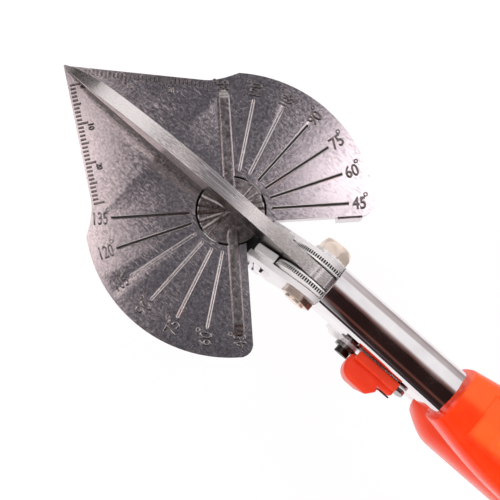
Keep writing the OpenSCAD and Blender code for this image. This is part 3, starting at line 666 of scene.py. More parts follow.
@dataclass
class AnglePlate:
    """The cast plate with two fans of angle lines, their numbers and two ruler edges."""

    edge: float = 0.2
    tip: float = 54.3
    half_tip: float = 35.75
    angles: tuple[int, ...] = (45, 60, 75, 90, 105, 120, 135)
    line_start: float = 9.6
    line_end: float = 28.5
    line_steps: tuple[float, ...] = (0, 0.05, 0.15, 0.3, 0.6)
    line_point: float = 0.1
    line_points: int = 20
    wall_points: int = 7
    slope_points: int = 6
    line_floor: float = 0.12
    line_crest: float = 0.31
    line_base: float = 0.08
    lip_w: float = 0.45
    lip_h: float = 0.13
    hollow: float = 0.36
    # Width, height and angles of the dark bars of painted shade in the line floors
    shade_w: float = 0.2
    shade_z: float = -0.2
    shaded_left: tuple[int, ...] = (120, 135)
    shaded_right: tuple[int, ...] = (45, 60, 75, 90)
    number_h: float = 3.1
    number_w: float = 3.3
    number_gap: float = 0.6
    type_size: float = 1.4
    relief: float = 0.28
    stroke_round: float = 0.17
    stroke_thin: float = 0.07
    ring_r: float = 0.42
    ring_wire: float = 0.15
    ring_lift: float = 0.05
    ring_gap: float = 0.1
    ring_points: int = 20
    wire_points: int = 8
    ruler_start: float = 5.4
    ruler_marks: int = 31
    mark_inset: float = 0.4
    mark_w: float = 0.64
    mark_l: tuple[float, float, float] = (1.4, 1.9, 2.7)
    mark_top_w: float = 0.62
    mark_slope: float = 0.09
    mark_z: tuple[float, float] = (-0.1, 0.23)
    tens: tuple[int, ...] = (0, 10, 20)
    tens_h: float = 1.5
    tens_w: tuple[float, float] = (0.55, 1.05)
    tens_gap: float = 0.5

    @property
    def top(self) -> float:
        """Height of the plate's upper face in millimetres."""
        return span("angle_plate")[1][2]

    def number(self, word: str, across: np.ndarray, middle: np.ndarray, width: float, height: float) -> Mesh:
        """Makes one number in relief as a mesh and then puts it in place.

        Args:
            word: the digits.
            across: the unit direction in plan in which the digits run.
            middle: the middle of the digits in plan, in millimetres.
            width: the width of the digits.
            height: the height of the digits.

        Returns:
            The placed mesh, in metres.
        """
        letters = bpy.data.curves.new(word, "FONT")
        letters.body = word
        letters.size = self.type_size * height * MM
        letters.extrude = self.relief / 2 * MM
        letters.bevel_depth = self.stroke_round * MM
        letters.offset = -self.stroke_thin * MM
        letters.bevel_resolution = 1
        letters.resolution_u = 5
        holder = link(letters, word)
        bpy.context.view_layer.update()
        mesh = bpy.data.meshes.new_from_object(holder.evaluated_get(bpy.context.evaluated_depsgraph_get()))
        bpy.data.objects.remove(holder)
        points = points_of(mesh)
        low = points.min(0)
        high = points.max(0)
        centred = Matrix.Translation(-Vector((low + high) / 2) * MM)
        fitted = Matrix.Diagonal((width / (high[0] - low[0]), height / (high[1] - low[1]), 1, 1))
        turn = Matrix(((across[0], -across[1], 0), (across[1], across[0], 0), (0, 0, 1))).to_4x4()
        lift = Matrix.Translation(Vector((*middle, self.top)) * MM)
        mesh.transform(lift @ turn @ fitted @ centred)
        return mesh

    def degree_rings(self, middles: np.ndarray) -> Mesh:
        """Makes the degree rings: a small circle carried round a larger one, at every middle.

        Args:
            middles: the rings' middles in plan, in millimetres.

        Returns:
            One mesh of all the rings.
        """
        turn = around(self.ring_points)
        wire = around(self.wire_points)[:, None]
        reach = self.ring_r + self.ring_wire * np.cos(wire)
        one = places(reach * np.cos(turn), reach * np.sin(turn), self.ring_wire * np.sin(wire))
        stand = places(*middles.T, self.top + self.ring_lift)[:, None, None]
        return surface("degree_rings", np.concatenate([one, one[:1]]) + stand)

    def lines(self, side: Side) -> Object:
        """Makes one fan's angle lines: a hollow between two raised lips, carried outward along each line.

        The section has a flat floor, walls that rise along half a cosine wave to a crest, and outer
        slopes that fall along a quarter wave. Both ends run in to a point along half circles.

        Args:
            side: which fan.

        Returns:
            The lines as one piece.
        """
        rise = np.linspace(0, 1, self.wall_points)
        fall = np.linspace(0, 1, self.slope_points)[1:]
        inner = self.line_floor + (self.line_crest - self.line_floor) * rise
        outer = self.line_crest + (self.lip_w - self.line_crest) * fall
        wall = (self.lip_h + self.hollow) * (1 - np.cos(np.pi * rise)) / 2 - self.hollow
        slope = self.lip_h * np.cos(QUARTER_TURN * fall)
        up = np.concatenate([wall, slope, [-self.hollow - self.line_base]])
        section = both_sides(np.concatenate([inner, outer, [self.lip_w]]), up)
        return self.carried(f"angle_lines_{side.word}", side, self.angles, *section)

    def grooves(self, side: Side) -> Object:
        """Makes painted shade in the bottom of some of one fan's angle lines: a dark flat bar in each.

        Args:
            side: which fan.

        Returns:
            The bars as one piece.
        """
        across = self.shade_w * np.array([-1, -1, 1, 1])
        up = np.array([-self.hollow, self.shade_z, self.shade_z, -self.hollow])
        angles = self.shaded_left if side is Side.LEFT else self.shaded_right
        return self.carried(f"line_dust_{side.word}", side, angles, across, up)

    def carried(self, name: str, side: Side, angles: tuple[int, ...], across: np.ndarray,
                up: np.ndarray) -> Object:
        """Carries a section outward along angle lines of one fan.

        The section's width follows a half circle at both ends of a line.

        Args:
            name: the piece's name.
            side: which fan.
            angles: the lines' angles in degrees.
            across: the section's places across the line, in millimetres.
            up: the section's heights above the plate, in millimetres.

        Returns:
            The lines as one piece.
        """
        even = np.linspace(self.line_steps[-1], 1, self.line_points)[1:]
        share = np.concatenate([self.line_steps, even]) / 2
        share = np.concatenate([share, 1 - share[-2::-1]])
        run = self.line_start + share * (self.line_end - self.line_start)
        past = 1 - np.minimum(run - self.line_start, self.line_end - run) / self.lip_w
        wide = quarter_round(np.clip(past, 0, 1), self.line_point)[:, None] * across
        angle = np.radians(angles)
        out = np.stack([-np.cos(angle), side.value * np.sin(angle)])[..., None, None]
        aside = np.stack([-out[1], out[0]])
        plan = out * run[:, None] + aside * wide
        return formed(name, places(*plan, self.top + up), ends=True)

    def fan_numbers(self, side: Side) -> Object:
        """Makes one fan's numbers, which run outward on the right and inward on the left.

        Args:
            side: which fan.

        Returns:
            The numbers with their degree rings, as one piece.
        """
        meshes = []
        rings = []
        middle_r = self.line_end + self.number_gap + self.number_w / 2
        for angle in self.angles:
            out = np.array([-cos(radians(angle)), side.value * sin(radians(angle))])
            across = out if side is Side.RIGHT else -out
            above = np.array([-across[1], across[0]])
            meshes.append(self.number(str(angle), across, out * middle_r, self.number_w, self.number_h))
            rings.append(out * middle_r + across * (self.number_w / 2 + self.ring_gap)
                         + above * (self.number_h / 2 + self.ring_r))
        meshes.append(self.degree_rings(np.array(rings)))
        return joined(f"angle_numbers_{side.word}", meshes)

    def ruler(self, side: Side) -> Object:
        """Makes one ruler: a sloped bar at each millimetre, longer at every fifth and tenth, and the tens.

        Args:
            side: which edge.

        Returns:
            The marks and numbers of that edge, as one piece.
        """
        half = radians(self.half_tip)
        along = np.array([-cos(half), side.value * sin(half)])
        inward = np.array([-sin(half), -side.value * cos(half)])
        start = np.array([self.tip, 0]) + along * self.ruler_start + inward * self.mark_inset
        single, fifth, tenth = self.mark_l
        count = np.arange(self.ruler_marks)
        reach = np.select([count % 10 == 0, count % 5 == 0], [tenth, fifth], single)[:, None, None]
        corner_x = np.array([-1, 1, 1, -1])
        corner_y = np.array([0, 0, 1, 1])
        wide = np.array([[1.0], [self.mark_top_w]]) * corner_x * self.mark_w / 2
        inset = np.array([[0.0], [self.mark_slope]])
        deep = corner_y * (reach - 2 * inset) + inset
        foot = (start + np.outer(count, along))[:, None, None]
        plan = foot + wide[..., None] * along + deep[..., None] * inward
        height = self.top + np.array(self.mark_z)[:, None]
        meshes = [surface("marks", places(plan[..., 0], plan[..., 1], height), ends=True)]
        for ten in self.tens:
            width = self.tens_h * (self.tens_w[1] if ten else self.tens_w[0])
            middle = (start + along * (ten + self.tens_gap + width / 2)
                      + inward * (fifth + self.tens_gap + self.tens_h / 2))
            meshes.append(self.number(str(ten), along, middle, width, self.tens_h))
        return joined(f"ruler_marks_{side.word}", meshes)

    def build(self) -> None:
        """Makes the plate and its marks."""
        settle(soften("angle_plate", self.edge), Body.ANVIL, Slot.PLATE, PLATE_FINISH, "angle_plate")
        # The left numbers and the right ruler take the lighter copy with painted highlight
        numbers, marks = LIT_MARK_FINISH, MARK_FINISH
        for side in Side:
            settle(self.lines(side), Body.ANVIL, Slot.PLATE, LINE_FINISH)
            settle(self.grooves(side), Body.ANVIL, Slot.PLATE, PAINTED_SHADE)
            settle(self.fan_numbers(side), Body.ANVIL, Slot.PLATE, numbers)
            settle(self.ruler(side), Body.ANVIL, Slot.PLATE, marks)
            numbers, marks = marks, numbers


@dataclass
class Turntable:
    """The round table with grooves for the blade, and the two fence arms that stand on it."""

    radius: float = 8.1
    height: float = 2.85
    rim: float = 0.2
    rim_turns: tuple[int, ...] = (30, 60, 90)
    turn_points: int = 720
    reach_points: int = 40
    grooves: int = 7
    groove_w: float = 1.0
    groove_d: float = 0.35
    floor_drop: float = 0.3
    flat_x: float = 0.4
    flat_y: float = 2.2
    flat_edge: float = 0.2
    arm_w: float = 2.8
    arm_h: float = 2.3
    arm_start: float = 4.4
    arm_end: float = 29.7
    arm_slope: float = 2.6
    arm_gap: float = 0.15
    arm_across: tuple[float, ...] = (0.68, 0.73, 0.77, 0.8, 0.82, 0.83, 0.97, 0.98, 1)
    arm_up: tuple[float, ...] = (1, 1, 0.99, 0.965, 0.93, 0.89, 0.16, 0.1, 0)
    arm_point: float = 0.02
    arm_points: int = 60
    end_points: int = 12
    nose_l: float = 1.4
    nose_lift: float = 0.3
    nose_fall: float = 0.62
    arm_turns: tuple[float, float] = (135.0, -45.0)

    @property
    def top(self) -> float:
        """Height of the table's upper face in millimetres."""
        return span("angle_plate")[1][2]

    def sector(self, x: np.ndarray, y: np.ndarray) -> np.ndarray:
        """Gives 1 on a flat sector beyond both its borders, with a smooth fall to 0 at them."""
        inside = step(x, self.flat_x, self.flat_x + self.flat_edge)
        return inside * step(y, self.flat_y, self.flat_y + self.flat_edge)

    def table(self) -> Object:
        """Makes the table: height over radius and turn, with two flat sectors and V grooves between them.

        The floor lies lower than the flat sectors, and each groove cuts it along a line through the
        middle, as deep as one minus the distance from that line over half the groove's width.

        Returns:
            The table as a piece.
        """
        turn = around(self.turn_points)
        reach = np.linspace(0, self.radius - self.rim, self.reach_points)[:, None]
        x = reach * np.cos(turn)
        y = reach * np.sin(turn)
        lines = np.linspace(0, QUARTER_TURN, self.grooves)[:, None, None]
        off = np.abs(x * np.sin(lines) - y * np.cos(lines)).min(0)
        groove = np.clip(1 - off / (self.groove_w / 2), 0, 1)
        low = 1 - self.sector(-x, y) - self.sector(x, -y)
        z = self.top - low * (self.floor_drop + self.groove_d * groove)
        edge = np.radians(self.rim_turns)[:, None]
        rim_r = self.radius - self.rim * (1 - np.sin(edge))
        rim_z = z[-1:] - self.rim * (1 - np.cos(edge))
        foot_r = np.array([[self.radius], [0.0]])
        rows = ((reach, z), (rim_r, rim_z), (foot_r, self.top - self.height))
        rings = [places(out * np.cos(turn), out * np.sin(turn), level) for out, level in rows]
        return formed("turntable", np.concatenate(rings))

    def arm(self, name: str, turn: float) -> Object:
        """Makes a fence arm: a flat-topped bar with sloped flanks, round ends and a nose that falls away.

        The half width follows a half circle at both ends, and the height falls along an S curve
        over the last stretch, where the underside rises to pass over the raised numbers.

        Args:
            name: the piece's name.
            turn: the arm's direction in plan, in degrees.

        Returns:
            The arm as a piece.
        """
        half = self.arm_w / 2
        ease = half * np.sin(np.linspace(0, QUARTER_TURN, self.end_points))
        rear = self.arm_start + half
        front = self.arm_end - half
        even = np.linspace(rear, front, self.arm_points)[1:-1]
        run = np.concatenate([rear - ease[::-1], even, front + ease])[:, None]
        past = np.maximum(np.maximum(rear - run, run - front), 0) / half
        tall = self.arm_h * (1 - self.nose_fall * step(run, self.arm_end - self.arm_slope, self.arm_end))
        lift = self.nose_lift * step(run, self.arm_end - self.nose_l, self.arm_end - self.nose_l / 2)
        across, up = both_sides(np.array(self.arm_across), np.array(self.arm_up))
        side = half * quarter_round(past, self.arm_point) * across
        z = self.top + self.arm_gap + lift * (1 - up) + tall * up
        a = radians(turn)
        return formed(name, places(run * cos(a) - side * sin(a), run * sin(a) + side * cos(a), z), ends=True)

    def build(self) -> None:
        """Makes the table and both arms, which stand for the fence solid."""
        settle(self.table(), Body.FENCE, Slot.PLATE, TABLE_FINISH, "angle_fence")
        for side, turn in zip(Side, self.arm_turns):
            settle(self.arm(f"fence_arm_{side.word}", turn), Body.FENCE, Slot.PLATE, TABLE_FINISH)
        paint(WIRE_FINISH, "fence_cone_spring")
        paint(ZINC_FINISH, "fence_hold_pins")


@dataclass
class BladeUnit:
    """The ground blade with its tang, packing and the jaw that it closes on."""

    edge: float = 0.1
    jaw_edge: float = 0.5
    upward: float = 0.5
    # How much painted shade covers the upward faces near the tip, and where it comes in
    tip_shade: float = 0.8
    tip_x: tuple[float, float] = (43.0, 52.0)

    def ground(self) -> Object:
        """Copies the blade and marks in a UV map where it takes painted shade: on all but its upward faces.

        The painted shade spreads over the upward faces towards the tip.

        Returns:
            The blade as a piece.
        """
        piece = soften("blade", self.edge)
        faces = piece.data.polygons
        normal = np.zeros(len(faces) * 3)
        faces.foreach_get("normal", normal)
        corners = np.zeros(len(faces), int)
        faces.foreach_get("loop_total", corners)
        bright = np.repeat(normal[2::3] > self.upward, corners)
        left = self.tip_shade * step(at_corners(piece.data)[:, 0], *self.tip_x)
        mark(piece.data, BLADE_FINISH, 1 - bright * (1 - left))
        return piece

    def build(self) -> None:
        """Dresses the blade, its packing and rivets, and the jaw with its screws."""
        settle(self.ground(), Body.BLADE, Slot.BLADE, BLADE_FINISH, "blade")
        settle(soften("jaw_block", self.jaw_edge, segments=3), Body.ANVIL, Slot.JAW, JAW_FINISH, "jaw_block")
        paint(ZINC_FINISH, "tang_rivets", "plate_screws", "tang_packing")
        paint(CHROME_FINISH, "jaw_rivets")


@dataclass
class PivotGroup:
    """The pivot bolt with its nut, toothed washer, bush and the two knurled discs."""

    edge: float = 0.22
    teeth: int = 24
    tooth: float = 0.22
    tooth_crisp: float = 2.5
    tooth_points: int = 16
    tooth_root: float = 0.7
    root_twist: float = 0.3
    knurls: int = 92
    knurl_d: float = 0.7
    knurl_crisp: float = 3.0
    knurl_points: int = 8
    knurl_rows: tuple[int, ...] = (6, 7, 8, 9)
    rim_out: tuple[float, ...] = (0.04, 0.04, 0.3, 0.36, 0.7, 0.74, 0.76, 0.82, 1.56, 1.62)
    rim_below: tuple[float, ...] = (3.0, 3.0, 0.12, 0.06, 0.06, 0.2, 0.16, 0, 0, 0.2, 1.6, 1.6)
    shoulder: float = 0.48
    shoulder_out: tuple[float, ...] = (0, 0.85, 1, 1)
    # Size and place of the dark ring of painted shade in the knurls
    shade_ring_d: float = 0.22
    shade_ring_y: tuple[float, float] = (0.78, 1.6)
    shade_ring_base: float = 0.1
    shade_ring_points: int = 180

    def turned(self, name: str, node: str, y: np.ndarray, reach: np.ndarray, turn: np.ndarray) -> Object:
        """Carries a closed profile round the axis of a solid.

        Args:
            name: the piece's name.
            node: the solid that gives the axis.
            y: the profile's places along the axis, one row each.
            reach: the radii, one row for each place.
            turn: the angles of a full turn.

        Returns:
            The turned piece.
        """
        x, _, z = np.mean(span(node), 0)
        ring = places(x + reach * np.cos(turn), y, z + reach * np.sin(turn))
        return formed(name, np.concatenate([ring, ring[:1]]))

    def rim(self, node: str) -> tuple[float, float, float]:
        """Measures a disc.

        Args:
            node: the disc's solid.

        Returns:
            Its radius, and the distances of its near and its far face from the blade's middle.
        """
        low, high = span(node)
        return ((high[0] - low[0]) / 2, *sorted((abs(low[1]), abs(high[1]))))

    def disc(self, side: Side) -> Object:
        """Turns a knurled disc: a smooth flange by the blade, a toothed rim and a shoulder by the cheek.

        The radius is a profile across the disc, less a square wave round it where the rim is toothed.

        Args:
            side: which side of the blade.

        Returns:
            The disc as a piece.
        """
        node = f"{side.word}_knurled_disc"
        rim, near, far = self.rim(node)
        hub = self.rim("pivot_bush")[0]
        shoulder = far - near + self.shoulder * np.array(self.shoulder_out)
        out = near + np.concatenate([self.rim_out, shoulder])[:, None]
        radius = np.concatenate([[hub], rim - np.array(self.rim_below), [hub]])[:, None]
        toothed = np.isin(np.arange(len(out)), self.knurl_rows)[:, None]
        turn = around(self.knurl_points * self.knurls)
        gap = (1 - np.tanh(self.knurl_crisp * np.cos(self.knurls * turn))) / 2
        reach = radius - self.knurl_d * toothed * gap
        return self.turned(f"knurled_disc_{side.word}", node, side.value * out, reach, turn)

    def shade_ring(self, side: Side) -> Object:
        """Makes a dark ring of painted shade that stands in the knurls, a little below the crests.

        Args:
            side: which disc.

        Returns:
            The ring as a piece.
        """
        node = f"{side.word}_knurled_disc"
        rim, near, _ = self.rim(node)
        out = near + np.repeat(self.shade_ring_y, 2)[:, None]
        deep = self.knurl_d + self.shade_ring_base
        reach = rim - np.array([deep, self.shade_ring_d, self.shade_ring_d, deep])[:, None]
        turn = around(self.shade_ring_points)
        return self.turned(f"knurl_grease_{side.word}", node, side.value * out, reach, turn)

    def washer(self) -> Object:
        """Makes the toothed washer: a flat ring whose outer half is twisted up and down in a wave.

        Returns:
            The washer as a piece.
        """
        low, high = span("pivot_washer")
        outer = (high[0] - low[0]) / 2
        inner = span("pivot_bush")[1][0] - (low[0] + high[0]) / 2
        root = self.tooth_root * outer
        turn = around(self.tooth_points * self.teeth)
        wave = self.tooth * (np.tanh(self.tooth_crisp * np.sin(self.teeth * turn)) - 1) / 2
        reach = np.array([inner, root, outer, outer, root, inner])[:, None]
        twist = np.array([0, self.root_twist, 1, 1, self.root_twist, 0])[:, None]
        out = np.array([-1, -1, -1, 1, 1, 1])[:, None]
        y = np.where(out < 0, low[1], high[1]) + out * twist * wave
        return self.turned("toothed_washer", "pivot_washer", y, reach, turn)

    def build(self) -> None:
        """Dresses the pivot."""
        for node, finish in (("pivot_bolt", NICKEL_FINISH), ("pivot_nut", NUT_FINISH)):
            settle(soften(node, self.edge, segments=3), Body.ANVIL, Slot.CHROME, finish, node)
        settle(self.washer(), Body.ANVIL, Slot.PLAIN, ZINC_FINISH, "pivot_washer")
        for side in Side:
            settle(self.disc(side), Body.BLADE, Slot.PLAIN, ZINC_FINISH, f"{side.word}_knurled_disc")
            settle(self.shade_ring(side), Body.BLADE, Slot.PLAIN, PAINTED_SHADE)
        paint(BRASS_FINISH, "pivot_bush")


@dataclass
class Arms:
    """The two chromed channel arms with the catch pin and the spring studs."""

    edge: float = 0.2
    roof_start: float = 28.5
    roof_end: float = 64.0
    arm_end: float = 172.0
    roof_z: float = 39.0
    roof_drop: float = 3.5
    bottom: float = 25.0
    half: tuple[float, float] = (5.1, 5.4)
    wall: float = 1.4
    roof_t: float = 0.8
    crown: float = 3.4
    crown_power: float = 0.8
    inner_power: float = 0.5
    roof_points: int = 24
    arch_points: int = 61
    liner_x: tuple[float, float] = (-15.9, -10.4)
    liner_y: tuple[float, float] = (1.95, 3.8)
    liner_low: float = 20.0
    liner_top: tuple[float, float] = (33.2, 28.6)
    liner_round: float = 0.3

    def face(self, back: np.ndarray, inset: float, tall: float, power: float) -> np.ndarray:
        """Carries one face of the section back: a foot, a superellipse arch over the walls, and a foot.

        Args:
            back: distances behind the turntable's middle, one row each.
            inset: how far the face lies inside the wall's outer face.
            tall: the height of the arch.
            power: the superellipse's power.

        Returns:
            Rows of places from the left foot to the right one, in millimetres.
        """
        share = np.clip((back - self.roof_start) / (self.roof_end - self.roof_start), 0, 1)
        wide = self.half[0] + (self.half[1] - self.half[0]) * share - inset
        turn = np.linspace(0, np.pi, self.arch_points)
        arch = self.roof_z - self.roof_drop * share - self.crown + tall * np.sin(turn) ** power
        y = np.concatenate([wide, wide * bent(np.cos(turn), power), -wide], 1)
        return places(-back, y, np.pad(arch, ((0, 0), (1, 1)), constant_values=self.bottom))

    def channel(self) -> Object:
        """Makes the upper channel: a bent section carried back along the arm as the roof falls.

        The ring of the section runs over the outside and back along the inside.

        Returns:
            The channel as a piece.
        """
        roof = np.linspace(self.roof_start, self.roof_end, self.roof_points)
        back = np.append(roof, self.arm_end)[:, None]
        outer = self.face(back, 0, self.crown, self.crown_power)
        inner = self.face(back, self.wall, self.crown - self.roof_t, self.inner_power)
        ring = np.concatenate([outer, inner[:, ::-1]], 1)
        return bevelled(formed("upper_channel", ring, ends=True), self.edge)

    def liner(self, side: Side) -> Object:
        """Makes the steel liner on a cheek's inner face, ahead of the knurled disc, with a sloping top.

        Args:
            side: which cheek.

        Returns:
            The liner as a piece.
        """
        near, far = self.liner_y
        back, ahead = self.liner_x
        corners = [(back, near), (ahead, near), (ahead, far), (back, far)]
        x, y = rounded(corners, (self.liner_round,) * 4)[0].T
        top = np.interp(x, self.liner_x, self.liner_top)
        level = np.stack([np.full_like(top, self.liner_low), top])
        piece = formed(f"cheek_liner_{side.word}", places(x, side.value * y, level), ends=True)
        return bevelled(piece, self.edge)

    def build(self) -> None:
        """Dresses the arms."""
        for side in Side:
            settle(self.liner(side), Body.ANVIL, Slot.PLAIN, ZINC_FINISH)
        settle(self.channel(), Body.ANVIL, Slot.CHROME, CHROME_FINISH, "upper_arm")
        cheeks = soften("upper_arm", self.edge, segments=3, ahead_of=-self.roof_start)
        settle(cheeks, Body.ANVIL, Slot.CHROME, SATIN_FINISH)
        settle(soften("lower_arm", self.edge), Body.BLADE, Slot.CHROME, SATIN_FINISH, "lower_arm")
        paint(DULL_ZINC, "catch_pin", "upper_spring_stud", "lower_spring_stud")


@dataclass
class Grip:
    """A moulded grip: rings of a rounded section carried along the arm, measured back from the middle."""

    name: str
    node: str
    front: float
    front_w: float
    swell: float
    body: Body
    finish: Finish
    end: float = 190.0
    hand_w: float = 20.5
    end_round: float = 9.0
    end_point: float = 0.01
    end_points: int = 14
    power: float = 0.62
    lip: float = 0.4
    lip_in: float = 0.025
    lip_points: int = 7
    ring_points: int = 144
    waist: float = 0.35
    waist_start: float = 0.4
    fine_l: float = 45.0
    fine_step: float = 0.5
    plain_step: float = 1.5
    panel_start: tuple[float, float] = (5.4, 11.0)
    panel_half: tuple[float, float] = (5.0, 3.4)
    panel_deep: tuple[float, float] = (0.7, 0.5)
    panel_wall: float = 0.8
    panel_up: tuple[float, float] = (0.3, 0.5)
    panel_end: tuple[float, float] = (40.0, 30.0)
    ridge_y: float = -0.4
    # Levels, edge width and reach of the painted sheen of paler orange on the top
    painted_sheen: tuple[float, float, float] = (0.4, 0.5, 0.85)
    sheen_edge: float = 1.6
    sheen_end: tuple[float, float] = (13.0, 26.0)
    sheen_low: tuple[float, float] = (5.0, 4.0)

    def share(self, back: np.ndarray) -> np.ndarray:
        """Gives the share of the grip's length that lies ahead of each distance."""
        return (back - self.front) / (self.end - self.front)

    def half(self, back: np.ndarray) -> np.ndarray:
        """Half width: a quarter wave up to the hand, less a shallow waist towards the rear.

        Args:
            back: distances behind the turntable's middle.

        Returns:
            The half widths in millimetres.
        """
        rise = np.sin(QUARTER_TURN * np.clip((back - self.front) / self.swell, 0, 1))
        dip = self.waist * np.sin(np.pi * step(self.share(back), self.waist_start, 1))
        return self.front_w / 2 + (self.hand_w - self.front_w) / 2 * (rise - dip)

    def stations(self) -> np.ndarray:
        """Places the rings, close together at the lip, the front half and the round end.

        Returns:
            The rings' distances behind the turntable's middle.
        """
        lip = self.front + self.lip * (1 - np.cos(np.linspace(0, QUARTER_TURN, self.lip_points)))
        change = self.front + self.fine_l
        fine = np.arange(self.front + self.lip, change, self.fine_step)[1:]
        plain = np.arange(change, self.end - self.end_round, self.plain_step)
        ease = np.sin(np.linspace(0, QUARTER_TURN, self.end_points))
        tail = self.end - self.end_round + self.end_round * ease
        return np.concatenate([lip, fine, plain, tail])

    def shrink(self, back: np.ndarray) -> np.ndarray:
        """Share of the full section: rounded at the lip by a quarter circle and at the end by another.

        Args:
            back: distances behind the turntable's middle.

        Returns:
            The shares.
        """
        lip = np.clip(1 - (back - self.front) / self.lip, 0, 1)
        tail = np.clip((back - self.end + self.end_round) / self.end_round, 0, 1)
        return (1 - self.lip_in * (1 - quarter_round(lip))) * quarter_round(tail, self.end_point)

    def rings(self, low: np.ndarray, high: np.ndarray, lean: np.ndarray, hollow: bool) -> np.ndarray:
        """Carries the section along the arm: a superellipse between low and high, sheared by the lean.

        Args:
            low: heights of the underside at the stations.
            high: heights of the top.
            lean: how far the underside lags behind the top.
            hollow: whether a shallow panel is sunk into the top.

        Returns:
            The rings as an array of places in millimetres.
        """
        back = self.stations()[:, None]
        turn = around(self.ring_points)
        wave_z = bent(np.sin(turn), self.power)
        size = self.shrink(back)
        y = self.half(back) * size * bent(np.cos(turn), self.power)
        z = (low + high)[:, None] / 2 + (high - low)[:, None] / 2 * size * wave_z
        if hollow:
            rear, last = (self.end - before for before in self.panel_end)
            upper = step(wave_z, *self.panel_up) * (1 - step(back, rear, last))
            for start, half, deep in zip(self.panel_start, self.panel_half, self.panel_deep):
                near = step(back, self.front + start, self.front + start + self.panel_wall)
                z = z - deep * upper * near * (1 - step(np.abs(y), half, half + self.panel_wall))
        return places(-back - lean[:, None] * (1 - wave_z) / 2, y, z)

    def paint_sheen(self, mesh: Mesh) -> None:
        """Marks in a UV map where the top takes a painted sheen of paler orange: right of its ridge, and in
        the left of its panel.

        Args:
            mesh: the grip, in metres.
        """
        x, y, z = at_corners(mesh).T
        left = step(y, self.ridge_y - self.sheen_edge / 2, self.ridge_y + self.sheen_edge / 2)
        back = -x - self.front
        share = self.painted_sheen[0] * (1 - left)
        for start, half, level in zip(self.panel_start, self.panel_half, self.painted_sheen[1:]):
            inside = left * (1 - step(y, half - self.sheen_edge, half + self.panel_wall))
            share = np.maximum(share, level * inside * step(back, start, start + self.sheen_edge))
        low, high = (z.max() - below for below in self.sheen_low)
        mark(mesh, self.finish, share * step(z, low, high) * (1 - step(back, *self.sheen_end)))

    def build(self, low: np.ndarray, high: np.ndarray, lean: np.ndarray, hollow: bool) -> None:
        """Makes the grip and lets it stand for its solid.

        Args:
            low: heights of the underside at the stations.
            high: heights of the top.
            lean: how far the underside lags behind the top.
            hollow: whether a shallow panel is sunk into the top.
        """
        piece = formed(self.name, self.rings(low, high, lean, hollow), ends=True)
        if hollow:
            self.paint_sheen(piece.data)
        settle(piece, self.body, Slot.GRIP, self.finish, self.node)


@dataclass
class Grips:
    """Both grips with their heights along the arms."""

    gap_middle: float = 23.25
    gap: float = 1.6
    roof: float = 37.4
    palm_rise: float = 1.8
    finger_hollow: float = 3.0
    finger_share: tuple[float, float] = (0.07, 0.93)
    lean: float = 8.0

    def build(self) -> None:
        """Makes the upper grip with its palm rise and the lower one with its finger hollow."""
        upper = Grip("upper_grip_vinyl", "upper_grip", front=64, front_w=14.2, swell=24,
                     body=Body.ANVIL, finish=UPPER_VINYL)
        back = upper.stations()
        high = self.roof + self.palm_rise * np.sin(np.pi * step(upper.share(back), 0, 1))
        upper.build(np.full_like(back, self.gap_middle + self.gap / 2), high, 0 * back, hollow=True)
        lower = Grip("lower_grip_vinyl", "lower_grip", front=61, front_w=12.6, swell=9,
                     body=Body.BLADE, finish=LOWER_VINYL)
        back = lower.stations()
        low = self.finger_hollow * np.sin(np.pi * step(lower.share(back), *self.finger_share))
        lean = self.lean * (1 - step(back, lower.front, lower.end - lower.end_round))
        lower.build(low, np.full_like(back, self.gap_middle - self.gap / 2), lean, hollow=False)


